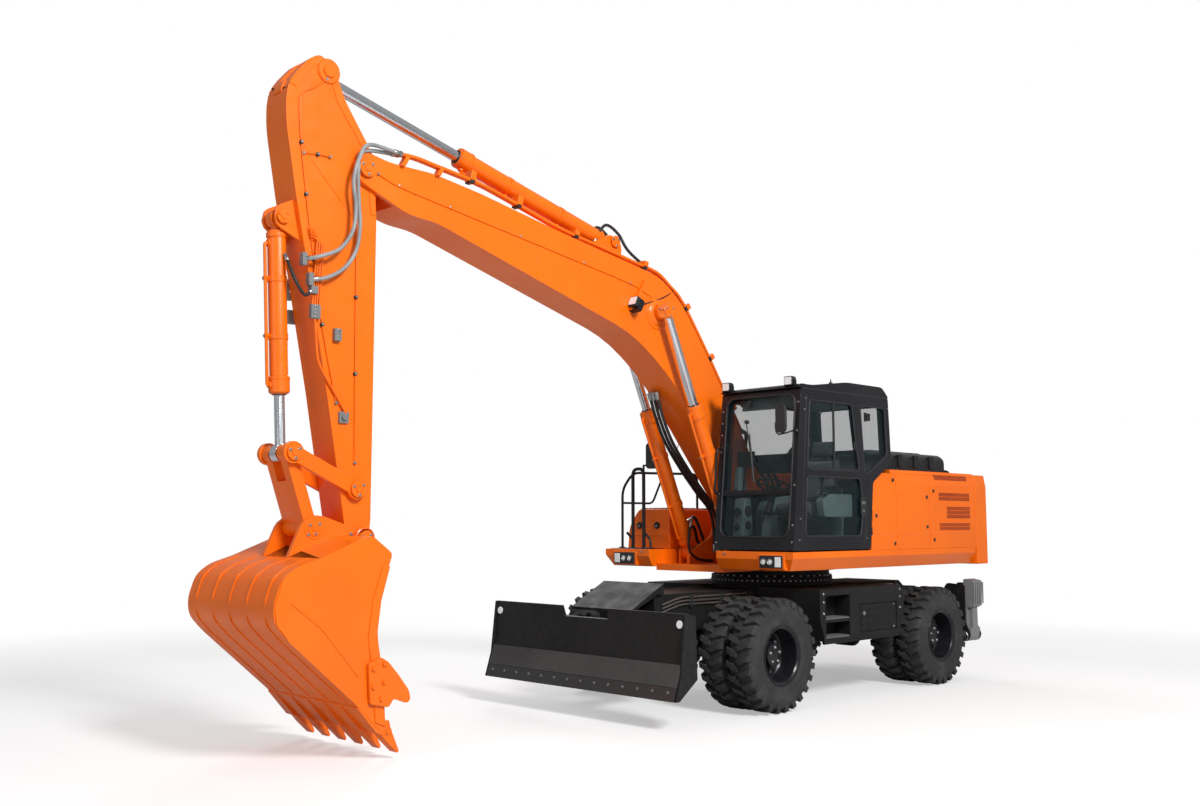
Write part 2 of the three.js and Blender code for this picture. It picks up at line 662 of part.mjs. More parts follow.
// Hood: a black shell over the engine, open below.
function hood() {
  const shellOutline = (inset) => [
    [hoodX[0] + inset, bodyTop + (inset ? -10 : seat)], [hoodX[0] + inset, hoodTop - 60 - inset, 40],
    [hoodX[0] + 80 + inset, hoodTop - inset, 40], [hoodX[1] - 80 - inset, hoodTop - inset, 40],
    [hoodX[1] - inset, hoodTop - 60 - inset, 40], [hoodX[1] - inset, bodyTop + (inset ? -10 : seat)],
  ];
  const wall = 25;
  return cut(plateY(shellOutline(0), ...hoodY), plateY(shellOutline(wall), hoodY[0] + wall, hoodY[1] - wall));
}
part('engine_hood', hood(), dark);

// ---------------------------------------------------------------- right side boxes and rails
const tankFrontY = -950;
const tankSeamY = -350;
const tankRearY = 505 - seat;
const tankTop = 1890;
const tankInnerX = rightDeckInner - 23;
const tankSection = [
  [tankInnerX, deckTop], [tankInnerX, tankTop, 20], [-1080, tankTop, 40], [-1225, tankTop - 190, 60],
  [-1245, deckTop],
];
part('toolbox', plateY(tankSection, tankFrontY, tankSeamY - seat), paint);
part('fuel_tank', plateY(tankSection, tankSeamY, tankRearY), paint);

const railFoot = deckTop;
const railY = -1120;
part('handrail', join(
  railing([
    [-1000, railY, railFoot], [-1000, railY, 2260], [-960, railY, 2325], [-880, railY, 2325],
    [-840, railY, 2260], [-840, railY, railFoot],
  ], 19),
  railing([
    [-1160, railY, railFoot], [-1160, railY, 2110], [-1000, railY, 2270], [-1000, -60, 2300],
    [-1000, -60, tankTop + seat],
  ], 14),
  railing([[-1160, railY, 1960], [-1160, -640, 1960], [-1000, -620, 2283]], 12),
  railing([[-840, railY, 2200], [-840, railY, 2560]], 12),
  box(-960, -760, railY - 30, railY + 5, 2340, 2560),
), dark);

// ---------------------------------------------------------------- cab
const cabOutline = [
  [-1283, cabBottom], [-1122, cabRoofSeam, 20], [402, cabRoofSeam, 20], [441, 2367, 30], [90, 2160, 40],
  [22, cabBottom],
];
const cabInside = [
  [-1283 + cabWall, cabBottom + 60], [-1122 + cabWall, cabRoofSeam + 10], [402 - cabWall, cabRoofSeam + 10],
  [441 - cabWall, 2367 + 25], [90 - cabWall, 2160 + 25], [22 - cabWall, cabBottom + 60],
];
const doorOpening = [
  [-1150, cabBottom + 55, 40], [-1040, 3000, 40], [-200, 3000, 40], [-150, 2674, 30], [-15, 1905, 60],
  [-80, cabBottom + 55, 60],
];
const doorOutline = [
  [-1142, cabBottom + 55 + seat, 40], [-1033, 2992, 40], [-207, 2992, 40], [-158, 2674, 30], [-24, 1905, 60],
  [-87, cabBottom + 55 + seat, 60],
];
const doorWindow = [
  [-1040, 2260, 40], [-990, 2930, 40], [-270, 2930, 40], [-225, 2650, 30], [-156, 2260, 40],
];
const doorLowerWindow = [
  [-1090, 1615, 50], [-1047, 2190, 40], [-144, 2190, 40], [-100, 1905, 30], [-150, 1615, 60],
];
const quarterWindow = [
  [-120, 2930, 30], [330, 2930, 40], [360, 2440, 40], [60, 2270, 40], [-60, 2230, 30],
];
const sideWindow = [
  [-1080, 2000, 40], [-1000, 2960, 40], [330, 2960, 40], [350, 2440, 40], [60, 2270, 40], [-60, 2100, 40],
];
const windscreenX = [cabInnerX + 60, upperHalfWidth - 60];
const cabFeet = [[430, -1150], [1130, -1150], [430, -80], [1130, -80]]; // X and Y of the cab's rubber mounts

// The windscreen leans with the front of the cab.
const frontY = (z) => THREE.MathUtils.mapLinear(z, cabBottom, cabRoofSeam, -1283, -1122);
const rearY = (z) => THREE.MathUtils.mapLinear(z, 2367, cabRoofSeam, 441, 402);
const leaning = (z0, z1, line, from, to) => [
  [line(z0) + from, z0], [line(z1) + from, z1], [line(z1) + to, z1], [line(z0) + to, z0],
];

function cabFrame() {
  const shell = plateX(cabOutline, cabInnerX, upperHalfWidth);
  const inside = plateX(cabInside, cabInnerX + cabWall, upperHalfWidth - cabWall);
  const doorway = plateX(doorOpening, upperHalfWidth - cabWall - 10, upperHalfWidth + 10);
  const quarter = plateX(quarterWindow, upperHalfWidth - cabWall - 10, upperHalfWidth + 10);
  const right = plateX(sideWindow, cabInnerX - 10, cabInnerX + cabWall + 10);
  const upperFront = plateX(leaning(2060, 2990, frontY, -20, cabWall + 20), ...windscreenX);
  const lowerFront = plateX(leaning(1600, 2010, frontY, -20, cabWall + 20), ...windscreenX);
  const glassRecess = plateX(
    leaning(1580, 3000, frontY, 28, cabWall + 20), windscreenX[0] - 15, windscreenX[1] + 15,
  );
  const rear = plateX(leaning(2460, 2960, rearY, -cabWall - 20, 20), cabInnerX + 110, upperHalfWidth - 110);
  const body = cut(shell, inside, doorway, quarter, right, upperFront, lowerFront, glassRecess, rear);
  const feet = cabFeet.map(([x, y]) => bar([x, y, deckTop], [x, y, cabBottom + 10], 60));
  return join(body, ...feet);
}
part('cab_frame', cabFrame(), dark);

part('cab_roof', plateX([
  [-1155, cabRoofSeam + seat, 10], [-1120, cabRoofSeam + 40, 30], [-950, cabTop - 75, 60], [-351, cabTop, 60],
  [294, cabTop, 40], [402, cabRoofSeam + 20, 30], [402, cabRoofSeam + seat],
], cabInnerX, upperHalfWidth), dark);

part('windscreen', plateX(
  leaning(1585, 2995, frontY, 28 + seat, 28 + seat + glassThickness),
  windscreenX[0] - 12, windscreenX[1] + 12,
), glass);

const paneX = (points, x) => plateX(points, x - glassThickness / 2, x + glassThickness / 2);
const shrunk = (points, middle) => points.map(([y, z, r]) => [
  y + Math.sign(middle[0] - y) * seat, z + Math.sign(middle[1] - z) * seat, r,
]);
part('right_window', paneX(shrunk(sideWindow, [-300, 2500]), cabInnerX + 25), glass);
part('quarter_window', paneX(shrunk(quarterWindow, [150, 2600]), upperHalfWidth - 25), glass);
part('rear_window', plateX(
  leaning(2460 + seat, 2960 - seat, rearY, -28 - glassThickness, -28),
  cabInnerX + 110 + seat, upperHalfWidth - 110 - seat,
), glass);

part('cab_door', cut(
  plateX(doorOutline, upperHalfWidth - cabWall + 5, upperHalfWidth),
  plateX(doorWindow, upperHalfWidth - cabWall - 10, upperHalfWidth + 10),
  plateX(doorLowerWindow, upperHalfWidth - cabWall - 10, upperHalfWidth + 10),
), dark);
part('door_window', paneX(shrunk(doorWindow, [-600, 2600]), upperHalfWidth - 25), glass);
part('door_lower_window', paneX(shrunk(doorLowerWindow, [-600, 1900]), upperHalfWidth - 25), glass);

const cabFloor = cabBottom + 60 + seat;
const cabMiddleX = (cabInnerX + upperHalfWidth) / 2;
part('driver_seat', join(
  box(cabMiddleX - 170, cabMiddleX + 170, -560, -180, cabFloor, 1800),
  plateX([
    [-680, 1800, 30], [-680, 1930, 60], [-230, 1920, 30], [-110, 2620, 60], [10, 2600, 60], [-120, 1800, 40],
  ], cabMiddleX - 250, cabMiddleX + 250),
), cloth);
part('console', join(
  box(cabMiddleX - 45, cabMiddleX + 45, -1060, -980, cabFloor, 1900),
  bar([cabMiddleX, -1010, 1880], [cabMiddleX, -950, 2100], 35, 16),
  bar([cabMiddleX, -955, 2080], [cabMiddleX, -945, 2105], 190, 32),
  box(cabInnerX + cabWall + 10, cabMiddleX - 270, -700, -80, cabFloor, 2050),
  box(cabMiddleX - 275, cabMiddleX - 40, -1060, -1000, cabFloor, cabFloor + 60),
  box(cabInnerX + cabWall + 10, cabMiddleX - 270, -1060, -690, cabFloor, cabFloor + 60),
), dark);

// ---------------------------------------------------------------- boom, arm and bucket
const radians = THREE.MathUtils.degToRad;

// Maps distances along a line and above it to a point of the Y-Z plane.
function along([y, z], angle, side = 1) {
  const [c, s] = [Math.cos(radians(angle)), Math.sin(radians(angle))];
  return (u, v) => [y - u * c + side * v * -s, z + u * s - side * v * c];
}
const boomAt = along(boomFoot, boomAngle, -1);
const boomNose = boomAt(boomLength, 0);
const armAt = (u, v) => {
  const [c, s] = [Math.cos(radians(armAngle)), Math.sin(radians(armAngle))];
  return [boomNose[0] - u * c + v * s, boomNose[1] - u * s - v * c];
};
const placed = (points, at) => points.map(([u, v, r]) => [...at(u, v), r]);

const bendU = boomLength - 3300; // where the boom's back is highest
const boomCylinderEye = boomAt(bendU - 75, 925);
const armCylinderBase = boomAt(bendU + 679, 1263);
const armCylinderEye = armAt(-725, -330);
const bucketPin = armAt(armLength, 0);
const guidePivot = armAt(armLength - 385, -43);
const linkPin = armAt(armLength - 654, -604);
const bucketLinkPin = armAt(armLength - 90, -418);
const bucketCylinderBase = armAt(494, -677);

function boom() {
  const noseU = boomLength;
  const body = plateX(placed([
    [-70, -150, 60], [-150, 0, 100], [-90, 160, 90], [bendU - 1290, 779, 200], [bendU - 845, 1000, 120],
    [bendU - 320, 1235, 200], [bendU + 60, 1272, 150], [bendU + 350, 1180, 100], [noseU - 1975, 856],
    [noseU - 1019, 561], [noseU - 540, 390, 80], [noseU - 161, 190, 80], [noseU + 70, 120, 80],
    [noseU + 115, -20, 90], [noseU + 10, -125, 90],
    [noseU - 506, -78, 120], [noseU - 778, 46, 100], [noseU - 1476, 188], [noseU - 2593, 425, 300],
    [noseU - 3200, 545, 300], [bendU - 555, 462, 300], [bendU - 1626, 51], [293, -130, 60],
  ], boomAt), boomX - boomHalfWidth, boomX + boomHalfWidth, 3);
  const noseSlot = plateX(placed([
    [noseU - 370, -400], [noseU - 370, 500], [noseU + 300, 500], [noseU + 300, -400],
  ], boomAt), boomX - armHalfWidth - running, boomX + armHalfWidth + running);
  const ears = [-1, 1].map((side) => plateX(placed([
    [bendU + 480, 1000], [bendU + 580, 1300, 60], [bendU + 760, 1300, 60], [bendU + 980, 1000],
  ], boomAt), boomX + side * 102 - 12, boomX + side * 102 + 12));
  const basePin = pin(armCylinderBase, 45, boomX - 130, boomX + 130);
  const bosses = [-1, 1].map((side) => {
    const reach = [boomHalfWidth - 5, boomCylinderX - 50].map((x) => boomX + side * x);
    return pin(boomCylinderEye, 80, ...reach);
  });
  const nosePin = pin(boomNose, mainPinRadius, boomX - boomHalfWidth - 25, boomX + boomHalfWidth + 25);
  const footHole = bore(boomFoot, mainPinRadius, boomX - 300, boomX + 300);
  return join(cut(body, noseSlot, footHole), ...ears, basePin, ...bosses, nosePin);
}
part('boom', boom(), paint);

for (const [name, side] of sides) {
  ram(`${name}_boom_cylinder`, paint, {
    x: boomX + side * boomCylinderX, base: boomCylinderBase, eye: boomCylinderEye, barrelEnd: 1610,
    cylinderBore: 62, rodRadius: 45, rodLength: 1620, eyeWidth: 90, eyeRadius: 75,
    pinRadius: cylinderPinRadius, headLength: 110,
  });
}
ram('arm_cylinder', paint, {
  x: boomX, base: armCylinderBase, eye: armCylinderEye, barrelEnd: 1900,
  cylinderBore: 68, rodRadius: 50, rodLength: 1960, eyeWidth: 110, eyeRadius: 80, pinRadius: 45,
  headLength: 120,
});

function arm() {
  const body = plateX(placed([
    [-790, -500, 120], [-852, -400, 90], [-737, -260, 100], [-539, -181, 60], [-128, 100, 120],
    [392, 133, 60], [armLength - 100, 107, 60], [armLength + 95, 60, 60], [armLength + 95, -80, 60],
    [armLength - 54, -120], [1814, -304], [707, -518], [295, -601, 80], [-278, -698, 120], [-560, -690, 160],
  ], armAt), boomX - armHalfWidth, boomX + armHalfWidth, 3);
  const topSlot = plateX(placed([
    [-1000, -1000], [-515, -1000], [-515, -200], [-560, 100], [-1000, 100],
  ], armAt), boomX - 60, boomX + 60);
  const lugs = [-1, 1].map((side) => plateX(placed([
    [330, -560], [420, -740, 50], [560, -740, 50], [680, -480],
  ], armAt), boomX + side * 90 - 12, boomX + side * 90 + 12));
  const pivots = [boomNose, bucketPin, guidePivot];
  const holes = pivots.map((centre) => bore(centre, mainPinRadius, boomX - 400, boomX + 400));
  const cylinderPin = pin(bucketCylinderBase, cylinderPinRadius, boomX - 118, boomX + 118);
  return join(cut(join(body, ...lugs), topSlot, ...holes), cylinderPin);
}
part('arm', arm(), paint);

ram('bucket_cylinder', paint, {
  x: boomX, base: bucketCylinderBase, eye: linkPin, barrelEnd: 1340,
  cylinderBore: 56, rodRadius: 40, rodLength: 1450, eyeWidth: 90, eyeRadius: 70, pinRadius: cylinderPinRadius,
  headLength: 110,
});

// A flat link between two pins, with round ends.
function link(from, to, radius, x0, x1) {
  const [start, end] = [from, to].map((point) => new THREE.Vector2(...point));
  const across = end.clone().sub(start).normalize().multiplyScalar(radius * 0.7);
  const side = new THREE.Vector2(-across.y, across.x);
  const corners = [
    start.clone().add(side), start.clone().sub(side), end.clone().sub(side), end.clone().add(side),
  ];
  const web = plateX(corners.map(({ x, y }) => [x, y]), x0, x1);
  return join(web, pin(from, radius, x0, x1), pin(to, radius, x0, x1));
}

const guideX = [armHalfWidth + running, armHalfWidth + running + 45];
const guidePlates = [-1, 1].map((side) => {
  const [x0, x1] = guideX.map((x) => boomX + side * x).sort((p, q) => p - q);
  return link(guidePivot, linkPin, 85, x0, x1);
});
const eyeGap = 65; // half the gap kept at the link pin for the bucket cylinder's eye
part('guide_link', join(
  ...guidePlates,
  pin(guidePivot, mainPinRadius, boomX - guideX[1] - 15, boomX + guideX[1] + 15),
  pin(linkPin, cylinderPinRadius, boomX - guideX[1] - 15, boomX - eyeGap),
  pin(linkPin, cylinderPinRadius, boomX + eyeGap, boomX + guideX[1] + 15),
), paint);

const pushHalfWidth = guideX[0] - running;
part('push_link', cut(
  link(linkPin, bucketLinkPin, 70, boomX - pushHalfWidth, boomX + pushHalfWidth),
  plateX([
    [linkPin[0] - 200, linkPin[1] + 200], [linkPin[0] - 200, linkPin[1] - 250],
    [linkPin[0] + 200, linkPin[1] - 180], [linkPin[0] + 200, linkPin[1] + 200],
  ], boomX - eyeGap, boomX + eyeGap),
  bore(linkPin, cylinderPinRadius, boomX - 400, boomX + 400),
), paint);

const toothCount = 6;

function bucket() {
  const at = ([y, z, r]) => [bucketPin[0] + y, bucketPin[1] + z, r];
  const outer = plateX([
    [-203, 30, 30], [-19, -106, 30], [-108, -367], [-148, -677, 100], [-87, -993], [-55, -1397],
    [-100, -1400], [-313, -1189], [-880, -695, 100], [-985, -580, 100], [-1000, -454, 80],
    [-942, -274, 60], [-833, -191, 60], [-636, -130], [-300, 2, 20],
  ].map(at), boomX - bucketHalfWidth, boomX + bucketHalfWidth, 3);
  const inner = plateX([
    [-225, -15], [200, -15], [200, -1375], [-75, -1375], [-296, -1166], [-865, -668, 90], [-962, -566, 90],
    [-974, -454, 70], [-920, -288, 50], [-820, -214, 50], [-625, -156], [-290, -24],
  ].map(at), boomX - bucketHalfWidth + bucketPlate, boomX + bucketHalfWidth - bucketPlate, 3);
  const earX = pushHalfWidth + running;
  const ears = [-1, 1].map((side) => {
    const [x0, x1] = [earX, earX + 40].map((x) => boomX + side * x).sort((p, q) => p - q);
    return plateX([
      [90, 0, 70], [40, 90, 70], [-60, 80, 40], [-400, 190, 60], [-520, 130, 70], [-560, 40, 60],
      [-640, -140], [-300, -14], [-190, -5], [-40, -95, 50],
    ].map(at), x0, x1);
  });
  const teeth = Array.from({ length: toothCount }, (_, i) => {
    const spread = bucketHalfWidth - 60;
    const x = boomX - spread + (2 * spread * i) / (toothCount - 1);
    return plateX([
      [-120, -1330], [-20, -1330], [0, -1400], [72, -1560], [60, -1575], [-40, -1480], [-110, -1400],
    ].map(at), x - 50, x + 50);
  });
  const armPin = pin(bucketPin, mainPinRadius, boomX - earX - 60, boomX + earX + 60);
  return join(cut(outer, inner), ...ears, ...teeth, armPin);
}
part('bucket', bucket(), paint);

// ---------------------------------------------------------------- blade cylinder
ram('blade_cylinder', dark, {
  x: 0, base: bladeCylinderBase, eye: bladeCylinderEye, barrelEnd: 380,
  cylinderBore: 32, rodRadius: 25, rodLength: 376, eyeWidth: 84, eyeRadius: 42, pinRadius: 25, headLength: 50,
});

machine.position.y = swingAxisY;
export default machine;
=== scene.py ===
import json
import math

import bmesh
import bpy
from mathutils import Matrix, Vector

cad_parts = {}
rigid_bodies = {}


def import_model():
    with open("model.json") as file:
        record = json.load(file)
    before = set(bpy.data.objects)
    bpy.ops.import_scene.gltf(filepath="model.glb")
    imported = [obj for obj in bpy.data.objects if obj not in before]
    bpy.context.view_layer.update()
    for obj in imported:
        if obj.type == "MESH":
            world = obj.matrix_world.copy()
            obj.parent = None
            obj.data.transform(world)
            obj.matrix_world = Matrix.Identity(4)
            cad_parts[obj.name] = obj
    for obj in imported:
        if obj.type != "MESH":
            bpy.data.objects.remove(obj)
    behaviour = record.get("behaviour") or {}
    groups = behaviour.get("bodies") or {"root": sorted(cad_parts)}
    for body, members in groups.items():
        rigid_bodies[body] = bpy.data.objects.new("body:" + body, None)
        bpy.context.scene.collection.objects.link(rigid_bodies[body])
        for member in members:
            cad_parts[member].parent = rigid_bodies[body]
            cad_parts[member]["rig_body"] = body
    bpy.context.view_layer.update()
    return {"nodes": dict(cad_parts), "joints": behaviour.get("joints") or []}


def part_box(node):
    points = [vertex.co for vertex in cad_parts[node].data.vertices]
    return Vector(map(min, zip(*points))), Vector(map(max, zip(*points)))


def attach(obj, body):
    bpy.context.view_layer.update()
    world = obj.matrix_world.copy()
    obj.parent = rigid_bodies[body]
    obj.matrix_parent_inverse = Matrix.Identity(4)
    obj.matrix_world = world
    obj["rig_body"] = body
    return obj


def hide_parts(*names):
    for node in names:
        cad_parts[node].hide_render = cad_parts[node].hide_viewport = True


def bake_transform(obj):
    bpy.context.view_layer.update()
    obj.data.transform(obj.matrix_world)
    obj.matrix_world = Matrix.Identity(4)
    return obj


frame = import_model()
JOINT = {joint["name"]: joint for joint in frame["joints"]}
SWING_Y = JOINT["swing"]["pos_m"][1]


def pin_at(joint):
    """Y and Z of a joint's axis, measured from the swing axis."""
    _, y, z = JOINT[joint]["pos_m"]
    return Vector((y - SWING_Y, z))


def node_box(node):
    """A CAD node's lowest and highest corner, measured from the swing axis."""
    low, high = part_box(node)
    shift = Vector((0, SWING_Y, 0))
    return low - shift, high - shift


# ---------------------------------------------------------------- camera, light and floor
CAMERA_PLACE = (7.9974, -10.4442, 1.7408)
CAMERA_YAW = 45.564
CAMERA_PITCH = 5.766
CAMERA_LENS = 35.667
WORLD_STRENGTH = 0.33


def make_camera():
    data = bpy.data.cameras.new("photo_camera")
    data.sensor_width = 36
    data.lens = CAMERA_LENS
    data.clip_end = 200
    camera = bpy.data.objects.new("photo_camera", data)
    x, y, z = CAMERA_PLACE
    camera.location = (x, y + SWING_Y, z)
    camera.rotation_euler = (math.radians(90 + CAMERA_PITCH), 0, math.radians(CAMERA_YAW))
    bpy.context.scene.collection.objects.link(camera)
    bpy.context.scene.camera = camera


def area_light(name, place, target, size, power):
    data = bpy.data.lights.new(name, "AREA")
    data.shape = "DISK"
    data.size = size
    data.energy = power
    light = bpy.data.objects.new(name, data)
    light.location = place
    light.rotation_euler = (Vector(target) - Vector(place)).to_track_quat("-Z", "Y").to_euler()
    bpy.context.scene.collection.objects.link(light)


def make_light():
    world = bpy.data.worlds.new("studio")
    world.use_nodes = True
    tree = world.node_tree
    background = tree.nodes["Background"]
    background.inputs["Color"].default_value = (1, 1, 1, 1)
    strength = remap(tree, seen_directly(tree), 0, 1, WORLD_STRENGTH, 1)
    tree.links.new(strength, background.inputs["Strength"])
    bpy.context.scene.world = world
    target = (0, 0, 2)
    area_light("key", (13, -4, 10.5), target, 4, 2350)
    area_light("front", (2, -15, 6), target, 7, 200)
    area_light("back", (-11, 7, 9), target, 7, 650)


def seen_directly(tree):
    """1 for camera and transmission rays, which see the white backdrop as it is."""
    path = tree.nodes.new("ShaderNodeLightPath")
    return calculated(tree, "MAXIMUM", path.outputs["Is Camera Ray"], path.outputs["Is Transmission Ray"])


def make_floor():
    mesh = bpy.data.meshes.new("floor")
    side = 120
    mesh.from_pydata([(-side, -side, 0), (side, -side, 0), (side, side, 0), (-side, side, 0)], [],
                     [(0, 1, 2, 3)])
    floor = bpy.data.objects.new("floor", mesh)
    bpy.context.scene.collection.objects.link(floor)
    material, tree, shader = new_material("floor_paper", (0.62, 0.62, 0.62), 0.9)
    whiten_for_camera(tree, shader)
    mesh.materials.append(material)


# ---------------------------------------------------------------- materials
DUST = (0.33, 0.29, 0.24)


def new_material(name, color, roughness, metallic=0.0):
    material = bpy.data.materials.new(name)
    material.use_nodes = True
    tree = material.node_tree
    shader = tree.nodes["Principled BSDF"]
    shader.inputs["Base Color"].default_value = (*color, 1)
    shader.inputs["Roughness"].default_value = roughness
    shader.inputs["Metallic"].default_value = metallic
    return material, tree, shader


def whiten_for_camera(tree, shader):
    """The floor keeps the object's shadow, and runs out into plain white further away."""
    glow = tree.nodes.new("ShaderNodeEmission")
    glow.inputs["Strength"].default_value = 0.40
    add = tree.nodes.new("ShaderNodeAddShader")
    tree.links.new(shader.outputs[0], add.inputs[0])
    tree.links.new(glow.outputs[0], add.inputs[1])
    white = tree.nodes.new("ShaderNodeEmission")
    reach = tree.nodes.new("ShaderNodeVectorMath")
    reach.operation = "LENGTH"
    tree.links.new(object_place(tree), reach.inputs[0])
    far = remap(tree, reach.outputs["Value"], 7.0, 12.0, 0, 1)
    spread = tree.nodes.new("ShaderNodeMixShader")
    tree.links.new(far, spread.inputs[0])
    tree.links.new(add.outputs[0], spread.inputs[1])
    tree.links.new(white.outputs[0], spread.inputs[2])
    pick = tree.nodes.new("ShaderNodeMixShader")
    tree.links.new(seen_directly(tree), pick.inputs[0])
    tree.links.new(shader.outputs[0], pick.inputs[1])
    tree.links.new(spread.outputs[0], pick.inputs[2])
    tree.links.new(pick.outputs[0], tree.nodes["Material Output"].inputs["Surface"])


def object_place(tree):
    return tree.nodes.new("ShaderNodeTexCoord").outputs["Object"]


def object_noise(tree, scale, detail=3.0, stretch=(1, 1, 1)):
    """A noise texture in object coordinates, in features per metre."""
    mapping = tree.nodes.new("ShaderNodeMapping")
    mapping.inputs["Scale"].default_value = stretch
    texture = tree.nodes.new("ShaderNodeTexNoise")
    texture.inputs["Scale"].default_value = scale
    texture.inputs["Detail"].default_value = detail
    tree.links.new(object_place(tree), mapping.inputs["Vector"])
    tree.links.new(mapping.outputs["Vector"], texture.inputs["Vector"])
    return texture.outputs["Fac"]


def remap(tree, value, low, high, to_low, to_high):
    node = tree.nodes.new("ShaderNodeMapRange")
    for socket, number in zip(("From Min", "From Max", "To Min", "To Max"), (low, high, to_low, to_high)):
        node.inputs[socket].default_value = number
    tree.links.new(value, node.inputs["Value"])
    return node.outputs["Result"]


def calculated(tree, operation, first, second):
    node = tree.nodes.new("ShaderNodeMath")
    node.operation = operation
    tree.links.new(first, node.inputs[0])
    tree.links.new(second, node.inputs[1])
    return node.outputs[0]


def darker(colour, share):
    return tuple(c * share for c in colour)


def mixed_colour(tree, factor, first, second):
    node = tree.nodes.new("ShaderNodeMix")
    node.data_type = "RGBA"
    for socket, colour in ((node.inputs["A"], first), (node.inputs["B"], second)):
        if isinstance(colour, tuple):
            socket.default_value = (*colour, 1)
        else:
            tree.links.new(colour, socket)
    tree.links.new(factor, node.inputs["Factor"])
    return node.outputs["Result"]


def bumped(tree, shader, height, strength, distance=0.001):
    node = tree.nodes.new("ShaderNodeBump")
    node.inputs["Strength"].default_value = strength
    node.inputs["Distance"].default_value = distance
    tree.links.new(height, node.inputs["Height"])
    tree.links.new(node.outputs["Normal"], shader.inputs["Normal"])


def painted(name, colour, shade, roughness, coat, dust=0.06, shine=0.5):
    """Sprayed paint: faint colour drift, orange peel, and a little dust low down."""
    material, tree, shader = new_material(name, colour, roughness)
    drift = mixed_colour(tree, remap(tree, object_noise(tree, 1.4), 0.35, 0.65, 0, 1), colour, shade)
    split = tree.nodes.new("ShaderNodeSeparateXYZ")
    tree.links.new(object_place(tree), split.inputs[0])
    low_down = remap(tree, split.outputs["Z"], 0.0, 2.2, 1.0, 0.25)
    specks = remap(tree, object_noise(tree, 22, 6), 0.5, 0.8, 0, dust * 3)
    finish = mixed_colour(tree, calculated(tree, "MULTIPLY", low_down, specks), drift, DUST)
    tree.links.new(finish, shader.inputs["Base Color"])
    gloss = remap(tree, object_noise(tree, 9, 5), 0.3, 0.7, roughness - 0.06, roughness + 0.08)
    tree.links.new(gloss, shader.inputs["Roughness"])
    bumped(tree, shader, object_noise(tree, 260, 2), 0.05)
    shader.inputs["Coat Weight"].default_value = coat
    shader.inputs["Coat Roughness"].default_value = 0.12
    shader.inputs["Specular IOR Level"].default_value = shine
    return material


def brushed(name, colour, roughness, stretch, streaks=260):
    """Bare metal with fine streaks along one direction."""
    material, tree, shader = new_material(name, colour, roughness, 1.0)
    streak = object_noise(tree, streaks, 4, stretch)
    gloss = remap(tree, streak, 0.3, 0.7, roughness * 0.7, roughness * 1.4)
    tree.links.new(gloss, shader.inputs["Roughness"])
    tone = mixed_colour(tree, object_noise(tree, 14, 5), colour, darker(colour, 0.82))
    tree.links.new(tone, shader.inputs["Base Color"])
    bumped(tree, shader, streak, 0.04)
    return material


def grained(name, colour, roughness, scale, strength, shade=0.7):
    """Moulded plastic or rubber: fine grain with slow changes of tone."""
    material, tree, shader = new_material(name, colour, roughness)
    tone = remap(tree, object_noise(tree, 6, 5), 0.3, 0.7, 0, 1)
    tree.links.new(mixed_colour(tree, tone, colour, darker(colour, shade)), shader.inputs["Base Color"])
    gloss = remap(tree, object_noise(tree, 40, 4), 0.3, 0.7, roughness - 0.07, roughness + 0.07)
    tree.links.new(gloss, shader.inputs["Roughness"])
    bumped(tree, shader, object_noise(tree, scale, 3), strength)
    return material


def tyre_rubber():
    material, tree, shader = new_material("tyre_rubber", (0.03, 0.03, 0.031), 0.8)
    dust = remap(tree, object_noise(tree, 5, 8), 0.45, 0.75, 0, 0.5)
    tone = mixed_colour(tree, dust, (0.022, 0.022, 0.023), (0.075, 0.072, 0.068))
    tree.links.new(tone, shader.inputs["Base Color"])
    tree.links.new(remap(tree, object_noise(tree, 30, 6), 0.3, 0.7, 0.65, 0.92), shader.inputs["Roughness"])
    bumped(tree, shader, object_noise(tree, 150, 6), 0.25, 0.002)
    return material


def woven(name, colour, shade):
    """Seat cloth: a fine two-way weave with sheen."""
    material, tree, shader = new_material(name, colour, 0.9)
    place = object_place(tree)
    weaves = []
    for direction in ("X", "Y", "Z"):
        wave = tree.nodes.new("ShaderNodeTexWave")
        wave.bands_direction = direction
        wave.inputs["Scale"].default_value = 90
        tree.links.new(place, wave.inputs["Vector"])
        weaves.append(wave.outputs["Fac"])
    total = weaves[0]
    for other in weaves[1:]:
        total = calculated(tree, "ADD", total, other)
    thread = remap(tree, total, 0.8, 2.2, 0, 1)
    tree.links.new(mixed_colour(tree, thread, shade, colour), shader.inputs["Base Color"])
    bumped(tree, shader, thread, 0.5, 0.0015)
    shader.inputs["Sheen Weight"].default_value = 0.35
    return material


def glass(name, colour, alpha):
    """Tinted pane: clear enough to see through, with a sharp reflection and faint smears."""
    material, tree, shader = new_material(name, colour, 0.04)
    tree.links.new(remap(tree, object_noise(tree, 3, 5), 0.3, 0.7, 0.015, 0.07), shader.inputs["Roughness"])
    shader.inputs["Alpha"].default_value = alpha
    shader.inputs["Specular IOR Level"].default_value = 0.8
    return material


def lens(name, colour, glow):
    material, tree, shader = new_material(name, colour, 0.12)
    ribs = tree.nodes.new("ShaderNodeTexWave")
    ribs.inputs["Scale"].default_value = 38
    tree.links.new(object_place(tree), ribs.inputs["Vector"])
    bumped(tree, shader, ribs.outputs["Fac"], 0.4, 0.002)
    tone = mixed_colour(tree, ribs.outputs["Fac"], colour, darker(colour, 0.7))
    tree.links.new(tone, shader.inputs["Base Color"])
    # A faint painted glow: the emission brightens the lamps' lenses, and also the blade's reflectors, the
    # seat belt ends and the lever buttons, which are no lamps.
    shader.inputs["Emission Color"].default_value = (*colour, 1)
    shader.inputs["Emission Strength"].default_value = glow
    shader.inputs["Coat Weight"].default_value = 0.8
    return material


